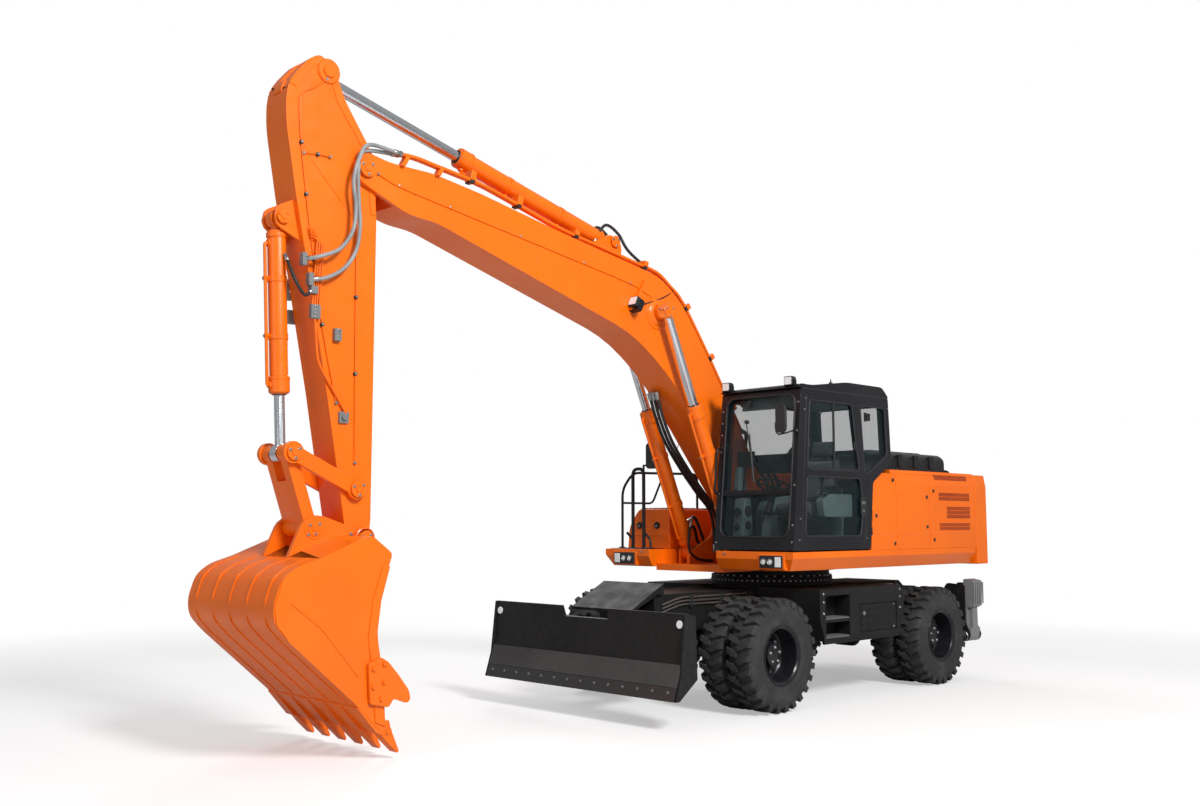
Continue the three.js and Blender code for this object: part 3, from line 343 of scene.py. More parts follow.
ORANGE = painted("orange_paint", (0.94, 0.168, 0.001), (0.89, 0.150, 0.001), 0.36, 0.12, 0.012, 0.36)
WORN = painted("worn_paint", (0.075, 0.075, 0.074), (0.055, 0.055, 0.055), 0.55, 0.0, 0.02, 0.2)
# Painted shade: the louver slots' dark orange-brown stands in for the shade inside the slits.
SLOT_SHADE = painted("vent_paint", (0.32, 0.04, 0.004), (0.26, 0.03, 0.004), 0.5, 0.0, 0.015)
DARK = painted("dark_paint", (0.008, 0.008, 0.011), (0.012, 0.012, 0.015), 0.3, 0.12, 0.008, 0.3)
CHASSIS_DARK = painted("chassis_paint", (0.010, 0.010, 0.010), (0.015, 0.015, 0.015), 0.55, 0.0, 0.012, 0.22)
GREY = painted("grey_paint", (0.20, 0.205, 0.21), (0.16, 0.165, 0.17), 0.5, 0.1, 0.05)
CHROME = brushed("rod_chrome", (0.88, 0.91, 0.96), 0.2, (1, 1, 1), 120)
STEEL = brushed("steel", (0.45, 0.45, 0.44), 0.35, (1, 1, 8))
STEEL_DARK = brushed("worn_steel", (0.12, 0.12, 0.12), 0.45, (8, 1, 1))
TYRE = tyre_rubber()
GLASS = glass("cab_glass", (0.012, 0.03, 0.034), 0.22)
CLOTH = woven("seat_fabric", (0.085, 0.10, 0.11), (0.03, 0.036, 0.04))
PLASTIC = grained("black_plastic", (0.022, 0.023, 0.025), 0.5, 700, 0.25)
GREY_PLASTIC = grained("grey_plastic", (0.15, 0.22, 0.22), 0.5, 700, 0.2, 0.85)
HOSE = grained("hose_rubber", (0.02, 0.02, 0.021), 0.55, 900, 0.2)
BRAID = grained("hose_sleeve", (0.33, 0.35, 0.36), 0.45, 500, 0.9, 0.6)
# Each lens's last number is the strength of its painted glow.
CLEAR_LENS = lens("clear_lens", (0.85, 0.88, 0.9), 0.15)
RED_LENS = lens("red_lens", (0.55, 0.01, 0.01), 0.1)
AMBER_LENS = lens("amber_lens", (0.9, 0.28, 0.01), 0.1)
MIRROR = brushed("mirror_glass", (0.8, 0.82, 0.84), 0.03, (1, 1, 1), 20)

SLOTS = {
    ORANGE: "orange_paint", SLOT_SHADE: "orange_paint", WORN: "dark_paint", DARK: "dark_paint",
    CHASSIS_DARK: "dark_paint", GREY: "grey_paint", CHROME: "rod_chrome", STEEL: "steel",
    STEEL_DARK: "steel", TYRE: "tyre_rubber", GLASS: "cab_glass", CLOTH: "seat_fabric",
    PLASTIC: "black_plastic", GREY_PLASTIC: "grey_plastic", HOSE: "hose_rubber", BRAID: "hose_sleeve",
    CLEAR_LENS: "clear_lens", RED_LENS: "red_lens", AMBER_LENS: "amber_lens", MIRROR: "mirror_glass",
}


# ---------------------------------------------------------------- geometry: (points, faces) pairs
BEND_STEPS = 5
SIDES = ((1, "left"), (-1, "right"))


def joined(*parts):
    points, faces = [], []
    for part_points, part_faces in parts:
        shift = len(points)
        points += part_points
        faces += [tuple(i + shift for i in face) for face in part_faces]
    return points, faces


def moved(part, matrix):
    points, faces = part
    return [tuple(matrix @ Vector(p)) for p in points], faces


def mirrored(part, centre=0.0):
    points, faces = part
    return [(2 * centre - x, y, z) for x, y, z in points], [face[::-1] for face in faces]


def both_sides(part, centre=0.0):
    return joined(part, mirrored(part, centre))


def block(x0, x1, y0, y1, z0, z1):
    (x0, x1), (y0, y1), (z0, z1) = sorted((x0, x1)), sorted((y0, y1)), sorted((z0, z1))
    points = [(x, y, z) for z in (z0, z1) for y in (y0, y1) for x in (x0, x1)]
    faces = [(0, 2, 3, 1), (4, 5, 7, 6), (0, 1, 5, 4), (2, 6, 7, 3), (0, 4, 6, 2), (1, 3, 7, 5)]
    return points, faces


def prism(outline, axis, low, high):
    """A closed outline in the plane across an axis, between two places along it, in either order."""
    low, high = sorted((low, high))

    def lift(a, b, c):
        return {"X": (c, a, b), "Y": (a, c, b), "Z": (a, b, c)}[axis]
    count = len(outline)
    area = sum(outline[i][0] * outline[(i + 1) % count][1] - outline[(i + 1) % count][0] * outline[i][1]
               for i in range(count))
    ring = list(outline) if (area > 0) != (axis == "Y") else list(outline)[::-1]
    points = [lift(a, b, low) for a, b in ring] + [lift(a, b, high) for a, b in ring]
    faces = [tuple(range(count))[::-1], tuple(range(count, 2 * count))]
    faces += [(i, (i + 1) % count, (i + 1) % count + count, i + count) for i in range(count)]
    return points, faces


def rectangle(a0, b0, a1, b1):
    return [(a0, b0), (a1, b0), (a1, b1), (a0, b1)]


def rounded(outline, radius, steps=4):
    """The outline with each corner replaced by an arc-like curve."""
    result = []
    count = len(outline)
    for i, corner in enumerate(outline):
        corner = Vector(corner)
        before = Vector(outline[i - 1]) - corner
        after = Vector(outline[(i + 1) % count]) - corner
        reach = min(radius, before.length * 0.48, after.length * 0.48)
        start, end = corner + before.normalized() * reach, corner + after.normalized() * reach
        for step in range(steps + 1):
            t = step / steps
            point = start * (1 - t) ** 2 + corner * 2 * t * (1 - t) + end * t ** 2
            result.append((point.x, point.y))
    return result


def frame_along(direction, up=Vector((0, 0, 1))):
    direction = direction.normalized()
    side = direction.cross(up)
    if side.length < 1e-4:
        side = direction.cross(Vector((0, 1, 0)))
    side.normalize()
    return side, side.cross(direction).normalized()


def around(centre, side, up, radius, angle):
    """The point at an angle on a circle about centre, in the plane of side and up."""
    return centre + (side * math.cos(angle) + up * math.sin(angle)) * radius


def smooth_path(points, per_span=6):
    """A Catmull-Rom curve through the points."""
    points = [Vector(p) for p in points]
    ends = [points[0] * 2 - points[1], *points, points[-1] * 2 - points[-2]]
    curve = []
    for i in range(1, len(ends) - 2):
        p0, p1, p2, p3 = ends[i - 1:i + 3]
        for step in range(per_span):
            t = step / per_span
            curve.append(0.5 * (2 * p1 + (p2 - p0) * t + (2 * p0 - 5 * p1 + 4 * p2 - p3) * t * t
                                + (3 * p1 - p0 - 3 * p2 + p3) * t ** 3))
    curve.append(points[-1])
    return curve


def bent_path(points, radius):
    """Straight runs with each corner turned on a curve, as a bent pipe has."""
    points = [Vector(p) for p in points]
    curve = [points[0]]
    for before, corner, after in zip(points, points[1:], points[2:]):
        back, forth = before - corner, after - corner
        reach = min(radius, back.length * 0.45, forth.length * 0.45)
        start, end = corner + back.normalized() * reach, corner + forth.normalized() * reach
        for step in range(BEND_STEPS + 1):
            t = step / BEND_STEPS
            curve.append(start * (1 - t) ** 2 + corner * 2 * t * (1 - t) + end * t ** 2)
    curve.append(points[-1])
    return curve


def tube(path, radius, sides=10):
    """A round tube with closed ends along a list of points; radius may be a list."""
    path = [Vector(p) for p in path]
    radii = radius if isinstance(radius, (list, tuple)) else [radius] * len(path)
    points, faces = [], []
    across = None
    for i, centre in enumerate(path):
        ahead = path[min(i + 1, len(path) - 1)] - path[max(i - 1, 0)]
        side, up = frame_along(ahead)
        if across is not None:
            side = (across - ahead.normalized() * across.dot(ahead.normalized())).normalized()
            up = side.cross(ahead.normalized()).normalized()
        across = side
        for k in range(sides):
            angle = 2 * math.pi * k / sides
            points.append(tuple(around(centre, side, up, radii[i], angle)))
    for i in range(len(path) - 1):
        for k in range(sides):
            a, b = i * sides + k, i * sides + (k + 1) % sides
            faces.append((a, a + sides, b + sides, b))
    faces.append(tuple(range(sides)))
    last = (len(path) - 1) * sides
    faces.append(tuple(last + k for k in range(sides))[::-1])
    return outward((points, faces))


def lathe(profile, centre, direction, sides=32):
    """Turns (distance along, radius) points about an axis through centre."""
    direction = Vector(direction).normalized()
    side, up = frame_along(direction)
    centre = Vector(centre)
    points, faces, rings = [], [], []
    for along, radius in profile:
        if radius < 1e-6:
            rings.append([len(points)] * sides)
            points.append(tuple(centre + direction * along))
            continue
        rings.append([len(points) + k for k in range(sides)])
        for k in range(sides):
            angle = 2 * math.pi * k / sides
            points.append(tuple(around(centre + direction * along, side, up, radius, angle)))
    for first, second in zip(rings, rings[1:]):
        for k in range(sides):
            face = [first[k], first[(k + 1) % sides], second[(k + 1) % sides], second[k]]
            face = [v for i, v in enumerate(face) if v not in face[:i]]
            if len(face) > 2:
                faces.append(tuple(face))
    return outward((points, faces))


def outward(part):
    points, faces = part
    volume = 0.0
    for face in faces:
        a = Vector(points[face[0]])
        for j in range(1, len(face) - 1):
            volume += a.dot(Vector(points[face[j]]).cross(Vector(points[face[j + 1]])))
    return (points, [face[::-1] for face in faces]) if volume < 0 else part


def disc(centre, direction, radius, thickness, sides=20, edge=0.15):
    """A short round boss with a softened rim, standing on centre."""
    soft = thickness * edge
    return lathe([
        (0, 0), (0, radius), (thickness - soft, radius), (thickness, radius - soft), (thickness, 0),
    ], centre, direction, sides)


def bolt(centre, direction, radius=0.012):
    """Washer and hexagon head."""
    thick, wide, height = radius * 0.18, radius * 1.25, radius * 0.85
    washer = lathe([(0, 0), (0, wide), (thick, wide), (thick, 0)], centre, direction, 16)
    head = lathe([
        (thick, 0), (thick, radius), (radius * 0.75, radius), (height, radius * 0.86), (height, 0),
    ], centre, direction, 6)
    return joined(washer, head)


def bolt_ring(centre, direction, ring, count, radius, start=0.0):
    side, up = frame_along(Vector(direction))
    centre = Vector(centre)
    return joined(*[
        bolt(around(centre, side, up, ring, start + 2 * math.pi * k / count), direction, radius)
        for k in range(count)
    ])


# ---------------------------------------------------------------- pieces
def shown(name, mesh, bevel, smooth):
    """A new object for a mesh, in the scene and with finished edges."""
    thing = bpy.data.objects.new(name, mesh)
    bpy.context.scene.collection.objects.link(thing)
    finish_edges(thing, bevel, smooth)
    return thing


def shaped(name, material, part, bevel, smooth):
    """A new object from (points, faces), moved into the shared frame."""
    points, faces = part
    mesh = bpy.data.meshes.new(name)
    mesh.from_pydata([(x, y + SWING_Y, z) for x, y, z in points], [], faces)
    mesh.validate()
    mesh.materials.append(material)
    return shown(name, mesh, bevel, smooth)


def piece(name, body, material, part, bevel=0.0, smooth=35, replaces=()):
    """A new object from (points, faces), riding on a CAD body."""
    thing = shaped(name, material, part, bevel, smooth)
    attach(thing, body)
    if replaces:
        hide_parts(*replaces)
    return thing


def finish_edges(thing, bevel, smooth):
    mesh = thing.data
    mesh.shade_smooth()
    mesh.set_sharp_from_angle(angle=math.radians(smooth))
    if bevel:
        modifier = thing.modifiers.new("edges", "BEVEL")
        modifier.width = bevel
        modifier.segments = 2
        modifier.limit_method = "ANGLE"
        modifier.angle_limit = math.radians(smooth)
        modifier.use_clamp_overlap = True
        modifier.harden_normals = True


def refined(node, material, bevel, cuts):
    """A copy of a CAD node with softened edges, and folds cut along planes, shown in the node's place."""
    source = frame["nodes"][node]
    mesh = source.data.copy()
    mesh.materials.clear()
    mesh.materials.append(material)
    work = bmesh.new()
    work.from_mesh(mesh)
    bmesh.ops.remove_doubles(work, verts=work.verts, dist=1e-5)
    bmesh.ops.dissolve_limit(work, angle_limit=math.radians(0.8), verts=work.verts, edges=work.edges)
    for point, normal in cuts:
        everything = work.verts[:] + work.edges[:] + work.faces[:]
        place = Vector(point) + Vector((0, SWING_Y, 0))
        sliced = bmesh.ops.bisect_plane(work, geom=everything, plane_co=place, plane_no=normal,
                                        clear_outer=True)
        rim = [edge for edge in sliced["geom_cut"] if isinstance(edge, bmesh.types.BMEdge)]
        if rim:
            bmesh.ops.contextual_create(work, geom=rim)
    for face in work.faces:
        face.material_index = 0
    work.to_mesh(mesh)
    work.free()
    thing = shown(f"{node}_finish", mesh, bevel, 32)
    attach(thing, source["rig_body"])
    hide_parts(node)
    return thing


REFINED = {
    ORANGE: [
        "boom", "arm", "bucket", "guide_link", "push_link", "upper_frame", "left_deck", "right_deck",
        "counterweight", "left_fixed_panel", "left_front_door", "left_rear_door", "bay_cover", "pump_door",
        "toolbox", "fuel_tank", "left_boom_cylinder_barrel", "right_boom_cylinder_barrel",
        "arm_cylinder_barrel", "bucket_cylinder_barrel",
    ],
    DARK: ["cab_frame", "cab_roof", "cab_door", "engine_hood", "engine"],
    CHASSIS_DARK: [
        "chassis_frame", "front_axle", "rear_axle", "drive_shaft", "slew_ring", "left_step_box",
        "right_step_box", "blade_guard", "stabilizer_beam", "left_knuckle", "right_knuckle", "dozer_blade",
        "blade_cylinder_barrel",
    ],
    GREY: ["left_stabilizer", "right_stabilizer"],
    CHROME: [
        "left_boom_cylinder_rod", "right_boom_cylinder_rod", "arm_cylinder_rod", "bucket_cylinder_rod",
        "blade_cylinder_rod",
    ],
}


def plane_through(a, b, c):
    """A point and the normal of the plane through three points, pointing away from the machine's middle."""
    a, b, c = Vector(a), Vector(b), Vector(c)
    normal = (b - a).cross(c - a).normalized()
    return tuple(a), normal if normal.x * a.x > 0 else -normal


LEVEL_FOLD = plane_through((1.25, 0, 2.155), (1.25, 1, 2.155), (1.214, 0, 2.30))
RISING_FOLD = plane_through((1.25, 0.146, 1.87), (1.25, 0.805, 2.153), (1.215, 0.473, 2.305))
RIGHT_FOLD = plane_through((-1.25, 0, 2.155), (-1.25, 1, 2.155), (-1.214, 0, 2.30))
DECK_SLOPE = ((0, -1.293, 1.395), Vector((0, -0.115, -0.055)).normalized())
CUTS = {
    "left_fixed_panel": [LEVEL_FOLD, RISING_FOLD], "left_front_door": [LEVEL_FOLD, RISING_FOLD],
    "left_rear_door": [LEVEL_FOLD], "pump_door": [RIGHT_FOLD], "bay_cover": [LEVEL_FOLD, RIGHT_FOLD],
    "counterweight": [LEVEL_FOLD, RIGHT_FOLD], "left_deck": [DECK_SLOPE], "right_deck": [DECK_SLOPE],
}
USUAL_BEVEL = 0.005
BEVEL = {
    "cab_frame": 0.012, "cab_roof": 0.02, "counterweight": 0.03, "boom": 0.006, "toolbox": 0.012,
    "fuel_tank": 0.012,
}
PANES = ("windscreen", "right_window", "quarter_window", "rear_window", "door_window", "door_lower_window")


def finish_cad_nodes():
    """Softened copies in place of the painted and machined nodes, and glass on the panes."""
    for material, nodes in REFINED.items():
        for node in nodes:
            refined(node, material, BEVEL.get(node, USUAL_BEVEL), CUTS.get(node, ()))
    for node in PANES:
        pane = frame["nodes"][node]
        pane.data.materials.clear()
        pane.data.materials.append(GLASS)


# ---------------------------------------------------------------- wheels
TYRE_HALF_WIDTH = 0.1375
TWIN_SPACING = 0.326
LUGS = 26
LUG_STAGGER = 0.07
WHEEL_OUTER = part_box("front_left_wheel")[1].x
TYRE_CENTRES = (WHEEL_OUTER - TYRE_HALF_WIDTH, WHEEL_OUTER - TYRE_HALF_WIDTH - TWIN_SPACING)
HUB_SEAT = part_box("front_left_wheel")[0].x


def wheel_point(x, radius, angle, centre):
    return (x, centre[0] + radius * math.cos(angle), centre[1] + radius * math.sin(angle))


def tyre(x, centre):
    """Carcass with round shoulders and a groove in the side wall."""
    half = [(0.108, 0.262), (0.122, 0.275), (0.131, 0.315), (0.134, 0.352), (0.1325, 0.357), (0.1335, 0.362),
            (0.1345, 0.40), (0.128, 0.452), (0.112, 0.482), (0.07, 0.492), (0.0, 0.495)]
    profile = half + [(-a, r) for a, r in half[-2::-1]] + half[:1]
    return lathe(profile, (x, *centre), (1, 0, 0), 72)


def lug(x, side, angle, centre):
    """One tread block, from the middle over the shoulder and down the side wall."""
    stations = [(0.006, 0.5235, 0.485), (0.05, 0.5250, 0.487), (0.1, 0.5245, 0.484), (0.127, 0.514, 0.472),
                (0.1365, 0.492, 0.455), (0.1372, 0.452, 0.448)]
    skew = (0.055, 0.03, -0.01, -0.025, -0.03, -0.03)
    half_width = (0.050, 0.062, 0.050, 0.066, 0.060, 0.045)
    points, faces = [], []
    for (out, top, base), turn, half in zip(stations, skew, half_width):
        centre_angle = angle + turn
        inside = min(out, 0.129)
        points += [
            wheel_point(x + side * inside, base, centre_angle - half, centre),
            wheel_point(x + side * out, top, centre_angle - half * 0.84, centre),
            wheel_point(x + side * out, top, centre_angle + half * 0.84, centre),
            wheel_point(x + side * inside, base, centre_angle + half, centre),
        ]
    for i in range(len(stations) - 1):
        for k in range(4):
            a, b = 4 * i + k, 4 * i + (k + 1) % 4
            faces.append((a, b, b + 4, a + 4))
    faces += [(3, 2, 1, 0), tuple(len(points) - 4 + k for k in range(4))]
    return outward((points, faces))


def rim(centre):
    """Both rims and the hub of a left-hand wheel pair, with the dish facing out."""
    outer = WHEEL_OUTER
    profile = [
        (outer - 0.1, 0), (outer - 0.1, 0.096), (outer - 0.106, 0.106), (outer - 0.15, 0.112),
        (outer - 0.185, 0.125), (outer - 0.20, 0.14), (outer - 0.204, 0.206), (outer - 0.19, 0.222),
        (outer - 0.1, 0.232), (outer - 0.03, 0.240), (outer - 0.014, 0.254), (outer - 0.006, 0.272),
        (outer - 0.012, 0.276), (outer - 0.022, 0.262), (outer - 0.579, 0.262), (outer - 0.589, 0.276),
        (outer - 0.595, 0.272), (outer - 0.587, 0.254), (outer - 0.571, 0.240), (outer - 0.37, 0.236),
        (outer - 0.36, 0.16), (HUB_SEAT + 0.002, 0.15), (HUB_SEAT + 0.002, 0),
    ]
    return lathe(profile, (0, *centre), (1, 0, 0), 56)


def make_wheel(name, side):
    joint = pin_at(f"{name}_spin")
    centre = (joint.x, joint.y)
    turn = (lambda part: part) if side > 0 else mirrored
    rubber = []
    step = 2 * math.pi / LUGS
    for i, x in enumerate(TYRE_CENTRES):
        rubber.append(tyre(x, centre))
        for k in range(LUGS):
            rubber.append(lug(x, 1, k * step + i * LUG_STAGGER, centre))
            rubber.append(lug(x, -1, (k + 0.5) * step + i * LUG_STAGGER, centre))
    piece(f"{name}_tyres", name, TYRE, turn(joined(*rubber)), smooth=28, replaces=[name])
    piece(f"{name}_rims", name, DARK, turn(rim(centre)), smooth=32)
    y, z = centre
    axis = (1, 0, 0)
    nuts = joined(
        bolt_ring((WHEEL_OUTER - 0.204, y, z), axis, 0.172, 10, 0.0165),
        bolt_ring((WHEEL_OUTER - 0.1, y, z), axis, 0.07, 5, 0.012, 0.3),
        tube([(WHEEL_OUTER - 0.19, y, z + 0.2), (WHEEL_OUTER - 0.15, y, z + 0.212)], 0.006, 8),
    )
    piece(f"{name}_nuts", name, STEEL, turn(nuts), smooth=32)


# ---------------------------------------------------------------- chassis
def make_slew_ring_bolts():
    top = node_box("upper_frame")[0].z
    ledge = top - 0.06
    lower = bolt_ring((0, 0, ledge), (0, 0, 1), 0.633, 44, 0.0115)
    piece("slew_ring_bolts", "chassis", STEEL, lower, smooth=32)
    plugs = []
    count = 72
    for k in range(count):
        angle = 2 * math.pi * k / count
        direction = Vector((math.cos(angle), math.sin(angle), 0))
        plugs.append(disc(direction * 0.645 + Vector((0, 0, top - 0.105)), direction, 0.009, 0.007, 8))
    piece("slew_ring_plugs", "chassis", STEEL, joined(*plugs), smooth=40)


def serrated_tread(x0, x1, y0, y1, z):
    """A foot tread: a sheet with rows of teeth across it."""
    pitch, height, half_sheet = 0.03, 0.012, 0.002
    parts = [block(x0, x1, y0, y1, z, z + 2 * half_sheet)]
    rows, teeth = int((y1 - y0) / pitch), int(abs(x1 - x0) / pitch)
    for k in range(rows):
        y = y0 + (k + 0.5) * (y1 - y0) / rows
        parts.append(block(x0, x1, y - half_sheet, y + half_sheet, z + 2 * half_sheet, z + height))
        for j in range(teeth):
            x = min(x0, x1) + (j + 0.5) * abs(x1 - x0) / teeth
            parts.append(prism([(x - 0.008, z + height), (x + 0.008, z + height), (x, z + height + 0.007)],
                               "Y", y - half_sheet, y + half_sheet))
    return joined(*parts)


def make_step_box(name, side):
    low, high = node_box(f"{name}_step_box")
    outer = high.x if side > 0 else low.x
    treads = joined(*[
        serrated_tread(outer - side * 0.185, outer - side * 0.004, -0.635, -0.23, z) for z in (0.8005, 0.6205)
    ])
    piece(f"{name}_step_treads", "chassis", GREY, treads, smooth=30)
    face = outer - side * 0.014
    door = block(face - side * 0.001, face + side * 0.006, -0.035, 0.625, 0.655, 0.915)
    ribs = [block(face + side * 0.006, face + side * 0.011, -0.01, 0.6, z, z + 0.02)
            for z in (0.70, 0.78, 0.86)]
    piece(f"{name}_step_box_door", "chassis", CHASSIS_DARK, joined(door, *ribs), bevel=0.002)
    latch = joined(
        disc((face + side * 0.006, 0.03, 0.83), (side, 0, 0), 0.022, 0.01, 20),
        bolt((face + side * 0.006, 0.585, 0.9), (side, 0, 0), 0.008),
        bolt((face + side * 0.006, 0.585, 0.67), (side, 0, 0), 0.008),
    )
    frame_bolts = joined(*[
        bolt((outer, y, z), (side, 0, 0), 0.011) for y in (-0.68, 0.70) for z in (0.86, 0.97, 1.05)
    ])
    piece(f"{name}_step_box_bolts", "chassis", STEEL, joined(latch, frame_bolts), smooth=32)


def make_axle_details():
    parts, steel = [], []
    for joint, y_sign in (("front_left_wheel_spin", -1), ("rear_left_wheel_spin", 1)):
        y, z = pin_at(joint)
        steel.append(bolt_ring((0, y + y_sign * 0.12, z), (0, y_sign, 0), 0.165, 12, 0.010))
        parts.append(lathe([(0, 0), (0, 0.15), (0.05, 0.12), (0.062, 0.04), (0.062, 0)],
                           (0, y + y_sign * 0.12, z), (0, y_sign, 0), 32))
        for side in (-1, 1):
            steel.append(bolt_ring((side * 0.60, y, z), (side, 0, 0), 0.082, 10, 0.008))
            parts.append(tube(bent_path([
                (side * 0.16, y - 0.1, z + 0.16), (side * 0.3, y - 0.09, z + 0.105),
                (side * 0.42, y - 0.06, z + 0.10),
            ], 0.05), 0.006, 8))
    piece("axle_covers", "chassis", CHASSIS_DARK, joined(*parts))
    piece("axle_bolts", "chassis", STEEL, joined(*steel), smooth=32)


def make_shaft_joints():
    parts = []
    shaft_z = pin_at("front_left_wheel_spin").y
    for start, end in ((-1.27, -0.25), (0.25, 1.198)):
        for y in (start + 0.09, end - 0.1):
            parts.append(lathe([(-0.05, 0.04), (-0.045, 0.062), (-0.012, 0.066), (-0.012, 0.05),
                                (0.012, 0.05), (0.012, 0.066), (0.045, 0.062), (0.05, 0.04)],
                                (0, y, shaft_z), (0, 1, 0), 28))
            for axis in ((1, 0, 0), (0, 0, 1)):
                parts.append(lathe([(-0.07, 0), (-0.07, 0.019), (0.07, 0.019), (0.07, 0)], (0, y, shaft_z),
                                   axis, 16))
    piece("shaft_joints", "chassis", STEEL, joined(*parts))


def make_chassis_lines():
    """Hydraulic lines along the frame, in clamps."""
    lines, clamps = [], []
    for side in (-1, 1):
        for k in range(3):
            z = 0.97 + 0.034 * k
            x = side * 0.374
            lines.append(tube(bent_path([
                (x, -2.16, z - 0.06), (x, -1.9, z), (x, -0.8, z),
            ], 0.08), 0.011, 10))
            lines.append(tube(bent_path([(x, 0.82, z), (x, 1.9, z), (x, 2.04, z - 0.09)], 0.08), 0.011, 10))
        for y in (-1.75, -1.3, -0.9, 1.0, 1.5, 1.85):
            clamps.append(block(side * 0.36, side * 0.392, y - 0.02, y + 0.02, 0.945, 1.06))
    piece("chassis_lines", "chassis", STEEL, joined(*lines), smooth=50)
    piece("chassis_line_clamps", "chassis", PLASTIC, joined(*clamps), bevel=0.003)


def make_blade_details():
    low, _ = node_box("dozer_blade")
    edge = prism([(-2.957, low.z), (-2.944, low.z), (-2.906, 0.37), (-2.919, 0.37)], "X", -1.23, 1.23)
    piece("blade_cutting_edge", "blade", STEEL_DARK, edge, bevel=0.002)
    band = prism([(-2.9215, 0.372), (-2.886, 0.468), (-2.8645, 0.555), (-2.858, 0.555), (-2.876, 0.468),
                  (-2.910, 0.372)],
                 "X", -1.232, 1.232)
    piece("blade_lower_band", "blade", WORN, band, bevel=0.0015)
    tilt = Vector((0, -0.949, 0.316)).normalized()
    bolts = [bolt((-1.15 + 0.177 * k, -2.931, 0.325), tilt, 0.013) for k in range(14)]
    for x in (-1.15, 1.15):
        for y, z in ((-2.72, 0.90), (-2.715, 0.83)):
            bolts.append(bolt((x, y + 0.02, z), (0, 1, 0), 0.013))
    piece("blade_bolts", "blade", STEEL, joined(*bolts), smooth=32)
    # The reflectors' lens material carries a painted glow.
    reflectors = [disc((x, -2.8165, 0.885), (0, -1, 0.06), 0.034, 0.010, 28) for x in (-1.185, 1.185)]
    piece("blade_reflectors", "blade", CLEAR_LENS, joined(*reflectors))
    ribs = [prism([(-2.705, z), (-2.645, z + 0.012), (-2.645, z + 0.05), (-2.70, z + 0.065)], "X", x0, x1)
            for z in (0.50, 0.70) for x0, x1 in ((0.34, 1.235), (-1.235, -0.34))]
    uprights = [prism([(-2.72, 0.90), (-2.66, 0.88), (-2.63, 0.62), (-2.665, 0.42), (-2.74, 0.42),
                       (-2.695, 0.62)],
                      "X", x - 0.01, x + 0.01) for x in (-0.95, -0.55, 0.55, 0.95)]
    piece("blade_back_ribs", "blade", CHASSIS_DARK, joined(*ribs, *uprights), bevel=0.004)
    pivot = pin_at("blade_lift")
    caps = joined(*[disc((side * 0.36, pivot.x, pivot.y), (side, 0, 0), 0.052, 0.018, 24)
                    for side in (-1, 1)])
    piece("blade_pivot_caps", "chassis", STEEL, caps)


def make_stabilizer_details(name, side):
    x, z = side * 1.13, 0.47
    front, rear = (corner.y for corner in node_box("stabilizer_beam"))
    boss = joined(
        disc((x, rear, z), (0, 1, 0), 0.06, 0.022, 28),
        bolt_ring((x, rear + 0.018, z), (0, 1, 0), 0.036, 4, 0.008),
        disc((x, front, z), (0, -1, 0), 0.06, 0.018, 28),
        *[bolt((side * bx, rear, bz), (0, 1, 0), 0.012)
          for bx, bz in ((1.02, 0.93), (1.09, 0.80), (0.98, 0.70))],
    )
    piece(f"{name}_stabilizer_bolts", "chassis", STEEL, boss, smooth=32)
    beam_ribs = joined(*[
        prism(rounded([(side * 0.72, 0.74), (side * 0.93, 1.0), (side * 1.08, 1.0), (side * 1.08, 0.66),
                       (side * 0.72, 0.6)], 0.03), "Y", y, y + 0.006) for y in (rear, front - 0.006)
    ])
    piece(f"{name}_stabilizer_web", "chassis", CHASSIS_DARK, beam_ribs, bevel=0.002)
    sole = [block(side * 1.248, side * 1.256, 2.085 + 0.05 * k, 2.105 + 0.05 * k, 0.83, 1.07)
            for k in range(5)]
    piece(f"{name}_stabilizer_foot_ribs", f"{name}_stabilizer", GREY, joined(*sole), bevel=0.002)


def make_chassis():
    make_slew_ring_bolts()
    for side, name in SIDES:
        for end in ("front", "rear"):
            make_wheel(f"{end}_{name}_wheel", side)
        make_step_box(name, side)
        make_stabilizer_details(name, side)
    make_axle_details()
    make_shaft_joints()
    make_chassis_lines()
    make_blade_details()


# ---------------------------------------------------------------- upper body
SIDE_X = node_box("left_front_door")[1].x
BOOM_X = JOINT["boom_lift"]["pos_m"][0]
CYLINDER_X = 0.325
DECK_TOP = node_box("left_deck")[1].z
DECK_FRONT = node_box("left_deck")[0].y
SLOT_PITCH = 0.015
SLOPE_BODY = "left_rear_door" if node_box("left_rear_door")[1].z > 2.27 else "upper"


def louvers(y0, y1, z0, z1, x, side):
    """Rows of small upright slots in a side panel: dark inlays that paint the shade inside the slits, with
    one lip over each row.
    """
    slots, lips = [], []
    rows = max(1, round((z1 - z0) / 0.046))
    height = (z1 - z0) / rows
    count = int((y1 - y0) / SLOT_PITCH)
    for row in range(rows):
        low = z0 + row * height
        for k in range(count):
            y = y0 + (k + 0.5) * (y1 - y0) / count
            slots.append(block(x - side * 0.001, x + side * 0.0012, y - 0.0050, y + 0.0050, low + 0.003,
                               low + height - 0.003))
        lips.append(block(x - side * 0.001, x + side * 0.003, y0, y1, low + height - 0.003, low + height))
    return joined(*slots), joined(*lips)


def slotted(name, body, side, rows, lean=None):
    """The louver rows of one panel as two pieces, the painted shade of the slits and their lips, leant by a
    matrix where the panel leans.
    """
    dark, lips = (joined(*shapes) for shapes in zip(*[louvers(*row, side * SIDE_X, side) for row in rows]))
    if lean:
        dark, lips = moved(dark, lean), moved(lips, lean)
    piece(f"{name}_slots", body, SLOT_SHADE, dark)
    piece(f"{name}_slot_lips", body, ORANGE, lips)


